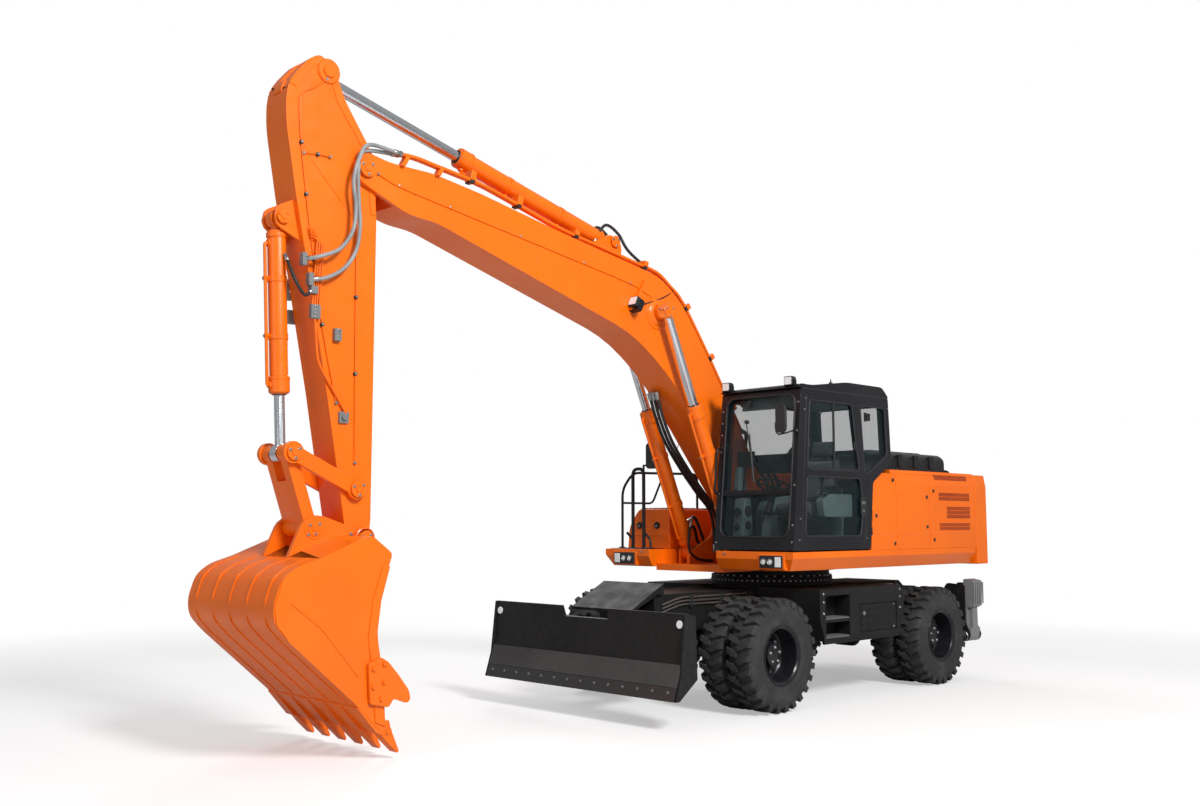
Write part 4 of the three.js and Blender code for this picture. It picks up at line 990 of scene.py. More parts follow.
def make_side_panels():
    slotted("left_rear_door", "left_rear_door", 1,
            [(1.38, 2.055, 1.985, 2.075), (1.55, 2.06, 1.79, 1.925), (1.385, 2.05, 1.66, 1.742)])
    slotted("pump_door", "pump_door", -1, [(0.75, 1.42, 1.96, 2.06), (0.75, 1.42, 1.72, 1.82)])
    slope = Matrix.Identity(4)
    slope[0][2] = -(1.25 - 1.214) / (2.30 - 2.155)
    slope[0][3] = -slope[0][2] * 2.155
    slotted("slope", SLOPE_BODY, 1, [(1.315, 2.035, 2.209, 2.269)], slope)
    for node, places in {
        "left_front_door": [(1.13, 1.70), (1.13, 2.02)], "left_rear_door": [(1.27, 1.56), (1.27, 2.09)],
        "upper": [(0.48, 2.19), (0.477, 1.529), (0.133, 1.817)],
    }.items():
        locks = [disc((SIDE_X - 0.012 if z > 2.1 else SIDE_X, y, z), (1, 0, 0), 0.019, 0.005, 24)
                 for y, z in places]
        piece(f"{node}_locks", node, PLASTIC, joined(*locks))
    pulls = joined(*[disc((-SIDE_X, 1.53, z), (-1, 0, 0), 0.019, 0.005, 24) for z in (1.62, 2.1)])
    piece("pump_door_locks", "pump_door", PLASTIC, pulls)
    crease = ((SIDE_X, 1.62), (SIDE_X + 0.004, 1.628), (SIDE_X + 0.004, 1.632), (SIDE_X, 1.64))
    for node, y0, y1 in (("left_front_door", 0.545, 1.178), ("left_rear_door", 1.21, 2.178),
                         ("upper", 0.10, 0.508)):
        piece(f"{node}_crease", node, ORANGE, prism(crease, "Y", y0, y1), smooth=50)
    piece("pump_door_crease", "pump_door", ORANGE, mirrored(prism(crease, "Y", 0.58, 1.58)), smooth=50)


def make_light_cluster(name, low_x, high_x, lens_outer):
    y = DECK_FRONT
    z0, z1 = 1.312, 1.432
    surround = prism(
        [(y, z1 + 0.016), (y - 0.004, z1 + 0.01), (y - 0.004, z0 - 0.008), (y + 0.02, z0 - 0.02),
         (y + 0.07, z0 - 0.015), (y + 0.02, z1 + 0.016)], "X", low_x - 0.022, high_x + 0.022)
    piece(f"{name}_light_surround", "upper", ORANGE, surround, bevel=0.004)
    bezel = block(low_x, high_x, y - 0.016, y + 0.01, z0, z1)
    piece(f"{name}_light_bezel", "upper", PLASTIC, bevel=0.006, part=bezel)
    width = high_x - low_x
    lens_x = (high_x - width * 0.30, high_x - width * 0.05)
    if not lens_outer:
        lens_x = (low_x + width * 0.05, low_x + width * 0.30)
    clear = block(*lens_x, y - 0.022, y - 0.014, z0 + 0.012, z1 - 0.012)
    piece(f"{name}_light_lens", "upper", CLEAR_LENS, clear, bevel=0.003)
    lamps = []
    rings = []
    start = low_x + width * 0.20 if lens_outer else low_x + width * 0.50
    for k in range(2):
        centre = (start + k * width * 0.29, y - 0.015, (z0 + z1) / 2)
        lamps.append(lathe([(0, 0), (0, 0.024), (0.004, 0.024), (0.009, 0.015), (0.011, 0)],
                           centre, (0, -1, 0), 28))
        rings.append(lathe([(0, 0.024), (0, 0.032), (0.010, 0.032), (0.012, 0.027), (0.008, 0.024),
                            (0, 0.024)],
                           centre, (0, -1, 0), 28))
    piece(f"{name}_lamps", "upper", CLEAR_LENS, joined(*lamps), smooth=50)
    piece(f"{name}_lamp_rings", "upper", STEEL, joined(*rings), smooth=50)


def make_rear_lights():
    parts = {RED_LENS: [], AMBER_LENS: [], PLASTIC: []}
    back = node_box("counterweight")[1].y
    for side in (-1, 1):
        angle = math.asin(0.93 / back)
        place = Matrix.Translation((side * 0.93, back * math.cos(angle), 1.66))
        turn = place @ Matrix.Rotation(-side * angle, 4, "Z")
        parts[PLASTIC].append(moved(block(-0.13, 0.13, -0.04, 0.012, -0.06, 0.06), turn))
        for material, near, far in ((RED_LENS, -0.115, 0.01), (AMBER_LENS, 0.02, 0.115)):
            parts[material].append(moved(block(side * near, side * far, 0.008, 0.022, -0.045, 0.045), turn))
    for material, shapes in parts.items():
        piece(f"rear_lights_{SLOTS[material]}", "upper", material, joined(*shapes), bevel=0.005)


def make_counterweight():
    _, back, top = node_box("counterweight")[1]
    eyes = joined(*[
        tube(bent_path([(x - 0.07, 2.38, top - 0.05), (x - 0.07, 2.38, top + 0.06),
                        (x + 0.07, 2.38, top + 0.06), (x + 0.07, 2.38, top - 0.05)], 0.06), 0.016, 12)
                        for x in (-0.75, 0.75)])
    piece("counterweight_lifting_eyes", "upper", DARK, eyes, smooth=40)
    plugs = joined(*[disc((x, back - 0.045, 1.412), (0, 0.56, -0.83), 0.035, 0.012, 24) for x in (-0.4, 0.4)])
    piece("counterweight_plugs", "upper", PLASTIC, plugs, smooth=40)


def make_hood():
    low, high = node_box("engine_hood")
    slots = []
    for group in (-0.62, -0.18, 0.28, 0.66):
        for k in range(5):
            x = group + 0.036 * (k - 2)
            slot = rounded(rectangle(x - 0.009, 0.68, x + 0.009, 0.96), 0.008)
            slots.append(prism(slot, "Z", high.z - 0.002, high.z + 0.003))
    side_slots = []
    for y0 in (0.72, 1.05, 1.38, 1.71):
        for k in range(6):
            y = y0 + 0.036 * k
            side_slots.append(block(high.x - 0.001, high.x + 0.003, y, y + 0.017, 2.34, 2.45))
            side_slots.append(block(low.x + 0.001, low.x - 0.003, y, y + 0.017, 2.34, 2.45))
    piece("hood_slots", "engine_hood", PLASTIC, joined(*slots, *side_slots), smooth=30)
    bumps = []
    for y0 in (0.84, 1.17, 1.5, 1.83):
        bumps.append(prism(rounded([(y0 - 0.05, 2.36), (y0 + 0.05, 2.36), (y0 + 0.04, 2.50),
                                    (y0 - 0.04, 2.50)], 0.02), "X",
                           high.x - 0.02, high.x + 0.018))
    ridge = [prism(rounded([(x - 0.14, high.z - 0.01), (x - 0.11, high.z + 0.028), (x + 0.11, high.z + 0.028),
                            (x + 0.14, high.z - 0.01)], 0.02), "Y", 1.02, 2.05) for x in (-0.5, 0.02, 0.52)]
    piece("hood_bulges", "engine_hood", DARK, joined(*bumps, *ridge), bevel=0.004, smooth=30)
    hinges = joined(*[block(x - 0.05, x + 0.05, low.y + 1.55, high.y + 0.02, low.z - 0.004, low.z + 0.012)
                      for x in (-0.6, 0.6)])
    latch = tube(bent_path([(-0.07, low.y - 0.002, 2.40), (-0.07, low.y - 0.04, 2.40),
                            (0.07, low.y - 0.04, 2.40), (0.07, low.y - 0.002, 2.40)], 0.02), 0.008, 10)
    piece("hood_latch_bar", "engine_hood", STEEL, joined(hinges, latch), smooth=40)
    pipe = bent_path([(-1.04, 1.75, 2.28), (-1.04, 1.75, 2.56), (-1.04, 1.86, 2.66)], 0.07)
    piece("exhaust_pipe", "upper", DARK, joined(
        tube(pipe, 0.055, 24), lathe([(0, 0.06), (0, 0.085), (0.02, 0.085), (0.03, 0.06)],
                                     (-1.04, 1.75, 2.30), (0, 0, 1), 28),
    ), smooth=40)


def make_toolbox():
    front, rear = node_box("toolbox")[0].y, node_box("fuel_tank")[1].y
    top = node_box("toolbox")[1].z
    plugs, caps = [], []
    for x in (-1.06, -0.80):
        plugs.append(lathe([(0, 0), (0, 0.038), (0.012, 0.038), (0.016, 0.030), (0.010, 0.022), (0.010, 0)],
                           (x, front, 1.715), (0, -1, 0), 28))
        caps.append(disc((x, front - 0.010, 1.708), (0, -1, 0), 0.013, 0.012, 16))
    piece("toolbox_locks", "upper", PLASTIC, joined(*plugs))
    piece("toolbox_lock_cores", "upper", STEEL, joined(*caps))
    steps = [prism([(front, 1.60), (front - 0.006, 1.606), (front - 0.006, 1.614), (front, 1.62)],
                   "X", -1.22, -0.64)]
    lid = block(-1.08, -0.66, front + 0.03, -0.37, top - 0.003, top + 0.008)
    piece("toolbox_seams", "upper", ORANGE, joined(*steps, lid), bevel=0.002)
    handles = joined(*[
        tube(bent_path([(x, -1.10, DECK_TOP), (x, -1.10, DECK_TOP + 0.10),
                        (x - 0.09, -1.10, DECK_TOP + 0.17)], 0.03), 0.014, 12)
        for x in (-0.76, -1.02)
    ], *[block(x - 0.05, x + 0.03, -1.13, -1.07, DECK_TOP, DECK_TOP + 0.012) for x in (-0.76, -1.02)])
    piece("deck_cleats", "upper", PLASTIC, handles, smooth=40)
    tread = []
    for y0, y1 in ((front + 0.05, -0.40), (-0.30, rear - 0.05)):
        rows = int((y1 - y0) / 0.06)
        for r in range(rows):
            for k in range(7):
                centre = (-1.03 + 0.058 * k + (0.029 if r % 2 else 0), y0 + 0.03 + r * 0.06)
                if centre[0] > -0.67:
                    continue
                tread.append(lathe([(0, 0.0135), (0, 0.019), (0.006, 0.015), (0.006, 0.0115), (0, 0.0135)],
                                   (*centre, top + 0.010), (0, 0, 1), 14))
        tread.append(block(-1.075, -0.665, y0, y1, top + 0.003, top + 0.0105))
    piece("tank_walkway", "upper", DARK, joined(*tread), smooth=40)
    cap = lathe([(0, 0), (0, 0.06), (0.02, 0.066), (0.045, 0.066), (0.055, 0.055), (0.055, 0)],
                (-0.90, 0.40, top), (0, 0, 1), 32)
    piece("fuel_cap", "upper", PLASTIC, cap)
    side = joined(*[disc((-1.2465, y, 1.62), (-1, 0, 0), 0.019, 0.005, 24) for y in (-0.88, -0.42, 0.43)])
    piece("tank_side_locks", "upper", PLASTIC, side)


def make_handrail():
    y = -1.12
    pipes = [
        ([(-1.0, y, DECK_TOP), (-1.0, y, 2.325), (-0.84, y, 2.325), (-0.84, y, DECK_TOP)], 0.019, 0.075),
        ([(-1.16, y, DECK_TOP), (-1.16, y, 2.11), (-1.0, y, 2.285), (-1.0, -0.06, 2.30),
          (-1.0, -0.06, 1.89)], 0.014, 0.09),
        ([(-1.16, y, 1.96), (-1.16, -0.64, 1.96), (-1.0, -0.62, 2.295)], 0.012, 0.06),
        ([(-0.84, y, 2.20), (-0.84, y, 2.36)], 0.012, 0.05),
        ([(-0.84, y, 2.36), (-0.70, y, 2.36)], 0.010, 0.05),
    ]
    rails = [tube(bent_path(points, radius), size, 14) for points, size, radius in pipes]
    feet = [disc((x, yy, z), (0, 0, 1), 0.042, 0.012, 20) for x, yy, z in
            ((-1.0, y, DECK_TOP), (-0.84, y, DECK_TOP), (-1.16, y, DECK_TOP), (-1.0, -0.06, 1.89))]
    piece("handrail_tubes", "upper", DARK, joined(*rails, *feet), smooth=40, replaces=["handrail"])
    shell = rounded([(-0.80, 2.32), (-0.80, 2.60), (-0.62, 2.60), (-0.62, 2.32)], 0.05, 6)
    piece("rail_mirror_housing", "upper", PLASTIC, prism(shell, "Y", y - 0.012, y + 0.018), bevel=0.006)
    inner = rounded([(-0.785, 2.335), (-0.785, 2.585), (-0.635, 2.585), (-0.635, 2.335)], 0.04, 6)
    piece("rail_mirror_glass", "upper", MIRROR, prism(inner, "Y", y + 0.017, y + 0.021))
    bolts = joined(*[bolt((x + dx, y + dy, DECK_TOP + 0.012), (0, 0, 1), 0.008)
                     for x in (-1.0, -0.84, -1.16) for dx, dy in ((0.03, 0.0), (-0.03, 0.0))])
    piece("handrail_bolts", "upper", STEEL, bolts, smooth=32)


def make_deck_details():
    """The decks' bolts and anti-slip strips, and the bosses and caps of the pins that stand on them."""
    steel = [bolt((x, DECK_FRONT, 1.44), (0, -1, 0), 0.010) for x in (0.42, -0.70)]
    piece("deck_bolts", "upper", STEEL, joined(*steel), smooth=32)
    strips = joined(*[
        block(-1.2, -0.66, DECK_FRONT + 0.03 + 0.05 * k, DECK_FRONT + 0.055 + 0.05 * k, DECK_TOP,
              DECK_TOP + 0.005)
        for k in range(6)
    ])
    piece("deck_grip_strips", "upper", PLASTIC, strips, bevel=0.002)
    cheeks = []
    for side in (-1, 1):
        x = BOOM_X + side * 0.252
        cheeks.append(disc((x, pin_at("boom_lift").x, pin_at("boom_lift").y), (side, 0, 0), 0.095, 0.022, 32))
        cheeks.append(block(x - 0.03, x + 0.03, -0.55, 1.2, DECK_TOP - 0.02, DECK_TOP))
    piece("boom_foot_bosses", "upper", ORANGE, joined(*cheeks), bevel=0.004)
    caps = []
    for side in (-1, 1):
        x = BOOM_X + side * 0.277
        y, z = pin_at("boom_lift")
        caps += [disc((x, y, z), (side, 0, 0), 0.062, 0.012, 28),
                 bolt((x + side * 0.008, y + 0.04, z), (side, 0, 0), 0.010)]
        y, z = pin_at("boom_cylinder_tilt")
        for edge in (-1, 1):
            centre = BOOM_X + side * CYLINDER_X
            caps.append(disc((centre + edge * 0.075, y, z), (edge, 0, 0), 0.055, 0.014, 28))
    piece("boom_base_pin_caps", "upper", STEEL, joined(*caps))


def make_deck_hoses():
    """Hoses from the boom cylinders' feet to the deck, with their fittings."""
    hoses, ends = [], []
    y, z = pin_at("boom_cylinder_tilt")
    for side in (-1, 1):
        x = BOOM_X + side * CYLINDER_X - side * 0.1065
        top = (x, y - 0.10, z + 0.30)
        path = smooth_path([
            top, (x, y - 0.13, z + 0.18), (x, y - 0.12, z + 0.02), (x + 0.01, y - 0.02, z - 0.06),
            (x + 0.015, y + 0.12, z - 0.085), (x + 0.015, y + 0.24, z - 0.09),
        ])
        hoses.append(tube(path, 0.014, 12))
        ends.append(lathe([(-0.03, 0.012), (-0.03, 0.018), (0.03, 0.018), (0.035, 0.016), (0.05, 0.016),
                           (0.05, 0.012)],
                          top, (0, 0.25, 1), 14))
    piece("deck_hoses", "upper", HOSE, joined(*hoses), smooth=50)
    piece("deck_hose_fittings", "upper", STEEL, joined(*ends), smooth=40)


def make_upper():
    make_side_panels()
    make_light_cluster("left", 0.857, 1.128, True)
    make_light_cluster("right", -1.106, -0.808, False)
    make_rear_lights()
    make_counterweight()
    make_hood()
    make_toolbox()
    make_handrail()
    make_deck_details()
    make_deck_hoses()


# ---------------------------------------------------------------- cab
CAB_LOW, CAB_HIGH = node_box("cab_frame")
ROOF_TOP = node_box("cab_roof")[1].z
CAB_MIDDLE = (CAB_LOW.x + CAB_HIGH.x) / 2
FLOOR = 1.541


def front_y(z):
    """Where the leaning front of the cab lies at a height."""
    return -1.283 + (z - 1.48) * (1.283 - 1.122) / (3.04 - 1.48)


def windscreen_loop(outline, radius):
    """An outline of (x, z) points laid on the cab's front with rounded corners."""
    return [(x, front_y(z) + 0.002, z) for x, z in rounded(outline, radius, 6)]


def rear_y(z):
    """Where the leaning back of the cab lies at a height."""
    return 0.441 + (z - 2.367) * (0.402 - 0.441) / (3.04 - 2.367)


def ring_band(outer, inner, offset):
    """A flat frame between two loops with as many points each, thickened by offset."""
    count = len(outer)
    offset = Vector(offset)
    loops = [outer, inner, [Vector(p) + offset for p in outer], [Vector(p) + offset for p in inner]]
    points = [tuple(p) for loop in loops for p in loop]
    faces = []
    for i in range(count):
        j = (i + 1) % count
        a, b, c, d = 0, count, 2 * count, 3 * count
        faces += [(a + i, a + j, b + j, b + i), (c + j, c + i, d + i, d + j), (a + j, a + i, c + i, c + j),
                  (b + i, b + j, d + j, d + i)]
    return outward((points, faces))


def loop_tube(points, radius, sides=8):
    """A round tube along a closed loop."""
    points = [Vector(p) for p in points]
    count = len(points)
    made, faces = [], []
    for i, centre in enumerate(points):
        side, up = frame_along(points[(i + 1) % count] - points[i - 1], Vector((0.3, 0.2, 1)))
        for k in range(sides):
            angle = 2 * math.pi * k / sides
            made.append(tuple(around(centre, side, up, radius, angle)))
    for i in range(count):
        for k in range(sides):
            j, m = (i + 1) % count, (k + 1) % sides
            faces.append((i * sides + k, j * sides + k, j * sides + m, i * sides + m))
    return outward((made, faces))


SIDE_PANES = {
    "door_upper": ([(-1.04, 2.26), (-0.99, 2.93), (-0.27, 2.93), (-0.225, 2.65), (-0.156, 2.26)],
                   SIDE_X, "cab_door"),
    "door_lower": ([(-1.09, 1.615), (-1.047, 2.19), (-0.144, 2.19), (-0.10, 1.905), (-0.15, 1.615)],
                   SIDE_X, "cab_door"),
    "quarter": ([(-0.12, 2.93), (0.33, 2.93), (0.36, 2.44), (0.06, 2.27), (-0.06, 2.23)], SIDE_X, "upper"),
    "right_side": ([(-1.08, 2.0), (-1.0, 2.96), (0.33, 2.96), (0.35, 2.44), (0.06, 2.27), (-0.06, 2.10)],
                   0.275, "upper"),
}


def make_seals():
    """Rubber seals round every pane, and the rounded corners of the windscreen."""
    for name, (outline, x, body) in SIDE_PANES.items():
        out = 1 if x > 1 else -1
        loop = rounded(outline, 0.05, 5)
        seal = loop_tube([(x - out * 0.004, a, b) for a, b in loop], 0.009)
        piece(f"{name}_seal", body, PLASTIC, seal, smooth=60)
    x0, x1 = CAB_LOW.x + 0.06, CAB_HIGH.x - 0.06
    whole = [(x0, 1.6), (x0, 2.99), (x1, 2.99), (x1, 1.6)]
    inside = [(x0 + 0.006, 1.606), (x0 + 0.006, 2.984), (x1 - 0.006, 2.984), (x1 - 0.006, 1.606)]
    outer, inner = windscreen_loop(whole, 0.0001), windscreen_loop(inside, 0.11)
    piece("windscreen_corners", "upper", DARK, ring_band(outer, inner, (0, 0.026, 0)), smooth=40)
    piece("windscreen_seal", "upper", PLASTIC, loop_tube(inner, 0.010), smooth=60)
    bar = joined(
        block(x0, x1, front_y(2.035) + 0.002, front_y(2.035) + 0.022, 2.012, 2.058),
        block(x0, x1, front_y(2.035) - 0.006, front_y(2.035) + 0.004, 2.026, 2.036),
    )
    piece("windscreen_crossbar", "upper", DARK, bar, bevel=0.004)
    loop = rounded([(0.385, 2.46), (0.385, 2.96), (1.14, 2.96), (1.14, 2.46)], 0.05, 5)
    seal = loop_tube([(a, rear_y(b) + 0.001, b) for a, b in loop], 0.009)
    piece("rear_window_seal", "upper", PLASTIC, seal, smooth=60)


def make_door_details():
    sash = joined(
        block(SIDE_X - 0.022, SIDE_X - 0.008, -0.588, -0.564, 2.25, 2.935),
        block(SIDE_X - 0.020, SIDE_X - 0.010, -1.04, -0.16, 2.262, 2.280),
    )
    piece("door_sash", "cab_door", PLASTIC, sash, bevel=0.002)
    catches = joined(*[block(SIDE_X - 0.014, SIDE_X - 0.002, y - 0.012, y + 0.012, 2.47, 2.55)
                       for y in (-1.0, -0.225)])
    piece("sash_catches", "cab_door", PLASTIC, catches, bevel=0.003)
    plate = prism(rounded(rectangle(-0.145, 1.82, -0.055, 2.00), 0.02), "X", SIDE_X - 0.004, SIDE_X + 0.003)
    piece("door_handle_plate", "cab_door", PLASTIC, plate, bevel=0.001)
    grip = tube(bent_path([(SIDE_X - 0.03, -0.13, 2.22), (SIDE_X - 0.012, -0.13, 2.24),
                           (SIDE_X - 0.012, -0.13, 2.60), (SIDE_X - 0.03, -0.13, 2.62)], 0.015), 0.012, 12)
    lever = rounded(rectangle(-0.135, 1.93, -0.065, 1.96), 0.01, 3)
    lever = prism(lever, "X", SIDE_X + 0.001, SIDE_X + 0.0058)
    key = disc((SIDE_X + 0.001, -0.10, 1.865), (1, 0, 0), 0.013, 0.0045, 20)
    piece("door_handle", "cab_door", STEEL, joined(lever, key))
    piece("door_grip", "cab_door", PLASTIC, grip, smooth=50)
    hinges = []
    for z in (1.66, 2.12, 2.82):
        hinges.append(lathe([(-0.045, 0), (-0.045, 0.014), (0.045, 0.014), (0.045, 0)],
                            (SIDE_X - 0.012, -0.012, z), (0, 0, 1), 18))
        hinges.append(block(SIDE_X - 0.006, SIDE_X + 0.004, -0.01, 0.055, z - 0.038, z + 0.038))
    piece("cab_door_hinges", "upper", DARK, joined(*hinges), bevel=0.002)
    gap = rounded([(-1.146, 1.54), (-1.037, 2.996), (-0.203, 2.996), (-0.154, 2.674), (-0.020, 1.905),
                   (-0.083, 1.54)], 0.04, 5)
    piece("door_gap_seal", "upper", HOSE, loop_tube([(SIDE_X - 0.004, a, b) for a, b in gap], 0.0045, 6),
          smooth=60)


def make_cab_outside():
    make_roof_lamps()
    make_cab_mirror()
    make_wiper()
    make_cab_bolts()
    make_grab_rails()
    make_roof_details()


def make_roof_lamps():
    lamps, glasses, brackets = [], [], []
    y, low = -1.115, ROOF_TOP - 0.085
    for x in (0.356, 1.129):
        stalk = bent_path([(x, y + 0.05, low - 0.03), (x, y - 0.01, low), (x, y - 0.01, low + 0.02)], 0.02)
        brackets.append(tube(stalk, 0.010, 10))
        shell = rounded(rectangle(x - 0.048, low, x + 0.048, low + 0.088), 0.012, 3)
        lamps.append(prism(shell, "Y", y - 0.055, y - 0.005))
        lamps += [block(x - 0.04 + 0.016 * k, x - 0.034 + 0.016 * k, y - 0.006, y + 0.014, low + 0.008,
                        low + 0.08) for k in range(6)]
        inner = rounded(rectangle(x - 0.040, low + 0.008, x + 0.040, low + 0.080), 0.01, 3)
        glasses.append(prism(inner, "Y", y - 0.058, y - 0.054))
        brackets += [block(x + s * 0.05, x + s * 0.055, y - 0.04, y + 0.01, low - 0.01, low + 0.055)
                     for s in (-1, 1)]
    piece("roof_lamp_shells", "upper", PLASTIC, joined(*lamps), bevel=0.002)
    piece("roof_lamp_lenses", "upper", CLEAR_LENS, joined(*glasses))
    piece("roof_lamp_brackets", "upper", DARK, joined(*brackets), smooth=40)


def make_cab_mirror():
    x, y, z0, z1 = 1.112, -1.25, 2.60, 2.872
    shape = rounded([(x - 0.062, z0), (x - 0.062, z1), (x + 0.062, z1), (x + 0.062, z0)], 0.058, 7)
    piece("cab_mirror_housing", "upper", PLASTIC, prism(shape, "Y", y - 0.03, y), bevel=0.010, smooth=30)
    face = rounded([(x - 0.053, z0 + 0.01), (x - 0.053, z1 - 0.01), (x + 0.053, z1 - 0.01),
                    (x + 0.053, z0 + 0.01)], 0.05, 7)
    piece("cab_mirror_glass", "upper", MIRROR, prism(face, "Y", y - 0.001, y + 0.003))
    arm = tube(bent_path([(1.21, front_y(2.63) - 0.002, 2.63), (1.19, y - 0.015, 2.60),
                          (1.08, y - 0.015, 2.585), (1.055, y - 0.02, 2.61), (1.045, y - 0.02, 2.70)], 0.04),
                          0.008, 10)
    piece("cab_mirror_arm", "upper", DARK,
          joined(arm, disc((1.21, front_y(2.63) + 0.004, 2.63), (0, -1, 0), 0.022, 0.014, 18)), smooth=45)


def make_wiper():
    wiper = joined(
        tube([(0.60, front_y(2.74) - 0.002, 2.74), (0.72, front_y(2.26) - 0.012, 2.26)], 0.006, 8),
        tube([(0.655, front_y(2.62) - 0.010, 2.62), (0.735, front_y(2.14) - 0.004, 2.14)], 0.009, 6),
        disc((0.60, front_y(2.74) + 0.022, 2.74), (0, -1, 0), 0.020, 0.034, 18),
    )
    piece("wiper", "upper", PLASTIC, wiper, smooth=40)


def make_cab_bolts():
    bolts = []
    for z in (1.56, 1.72, 2.10, 2.62, 2.90):
        bolts.append(disc((1.225, front_y(z) + 0.001, z), (0, -1, 0), 0.010, 0.010, 14))
    for z in (1.55, 2.03, 2.45, 2.62, 2.74, 2.86):
        bolts.append(disc((0.30, front_y(z) + 0.001, z), (0, -1, 0), 0.010, 0.010, 14))
    for y, z in ((-1.19, 1.58), (-1.17, 1.78), (-1.075, 2.83), (-1.06, 2.94), (-0.05, 1.59), (0.38, 2.93)):
        bolts.append(disc((SIDE_X, y, z), (1, 0, 0), 0.009, 0.0055, 14))
    piece("cab_bolts", "upper", STEEL, joined(*bolts), smooth=40)


def make_grab_rails():
    rail = tube(bent_path([(0.29, front_y(2.02) + 0.01, 2.02), (0.285, front_y(2.02) - 0.05, 2.05),
                           (0.285, front_y(2.5) - 0.05, 2.47), (0.29, front_y(2.5) + 0.01, 2.50)], 0.04),
                           0.013, 12)
    guard = tube(bent_path([(0.262, -1.10, 1.95), (0.25, -1.13, 1.98), (0.25, -1.10, 2.60),
                            (0.262, -1.07, 2.63)], 0.03), 0.010, 10)
    piece("cab_grab_rails", "upper", DARK, joined(rail, guard), smooth=45)


def make_roof_details():
    """Gutters, ribs and the antenna's foot on the roof, and the rubber mounts under the cab."""
    gutter = bent_path([(CAB_HIGH.x - 0.004, -1.10, 3.036), (CAB_HIGH.x - 0.004, 0.39, 3.036)], 0.02)
    piece("roof_gutters", "upper", PLASTIC, both_sides(tube(gutter, 0.0085, 8), CAB_MIDDLE), smooth=50)
    ribs = joined(*[
        prism(rounded([(x - 0.035, ROOF_TOP - 0.005), (x - 0.02, ROOF_TOP - 0.0005),
                       (x + 0.02, ROOF_TOP - 0.0005), (x + 0.035, ROOF_TOP - 0.005)], 0.006),
                       "Y", -0.30, 0.26) for x in (0.42, 0.62, 0.90, 1.10)])
    antenna = lathe([(0, 0), (0, 0.022), (0.012, 0.018), (0.016, 0.008), (0.05, 0.004), (0.05, 0)],
                    (1.16, -0.50, ROOF_TOP - 0.02), (0, 0, 1), 20)
    piece("roof_ribs", "upper", DARK, joined(ribs, antenna), smooth=40)
    feet = []
    for x in (0.43, 1.13):
        for y in (-1.15, -0.08):
            feet.append(lathe([(0.004, 0), (0.004, 0.075), (0.010, 0.08), (0.010, 0)], (x, y, DECK_TOP),
                              (0, 0, 1), 24))
    piece("cab_mount_pads", "upper", HOSE, joined(*feet), smooth=40)


PAD_PRESSURE = 4.0
PAD_FRAMES = 20


def soft_pad(name, part, material, body, cap=0.026, replaces=()):
    """A cushion: a closed form, swelled by a cloth simulation by no more than cap."""
    thing = piece(name, body, material, part, smooth=60, replaces=replaces)
    bpy.context.view_layer.objects.active = thing
    remesh = thing.modifiers.new("remesh", "REMESH")
    remesh.mode = "VOXEL"
    remesh.voxel_size = 0.0065
    bpy.ops.object.modifier_apply(modifier="remesh")
    mesh = thing.data
    rest = [v.co.copy() for v in mesh.vertices]
    cloth = thing.modifiers.new("cloth", "CLOTH")
    cloth.settings.use_pressure = True
    cloth.settings.uniform_pressure_force = PAD_PRESSURE
    cloth.settings.effector_weights.gravity = 0
    cloth.settings.quality = 4
    cloth.settings.tension_stiffness = 20
    cloth.settings.compression_stiffness = 20
    cloth.point_cache.frame_start = 1
    cloth.point_cache.frame_end = PAD_FRAMES
    scene = bpy.context.scene
    for number in range(1, PAD_FRAMES + 1):
        scene.frame_set(number)
    graph = bpy.context.evaluated_depsgraph_get()
    swelled = [v.co.copy() for v in thing.evaluated_get(graph).data.vertices]
    thing.modifiers.remove(cloth)
    scene.frame_set(1)
    for vertex, start, end in zip(mesh.vertices, rest, swelled):
        shift = end - start
        if shift.length > cap:
            shift = shift.normalized() * cap
        vertex.co = start + shift
    smooth = thing.modifiers.new("round", "SUBSURF")
    smooth.levels = smooth.render_levels = 1
    mesh.shade_smooth()
    return thing


def slab(outline, x0, x1):
    """An outline in the Y-Z plane, from x0 to x1, as an upholstered block's closed form."""
    return prism(rounded(outline, 0.035, 4), "X", x0, x1)


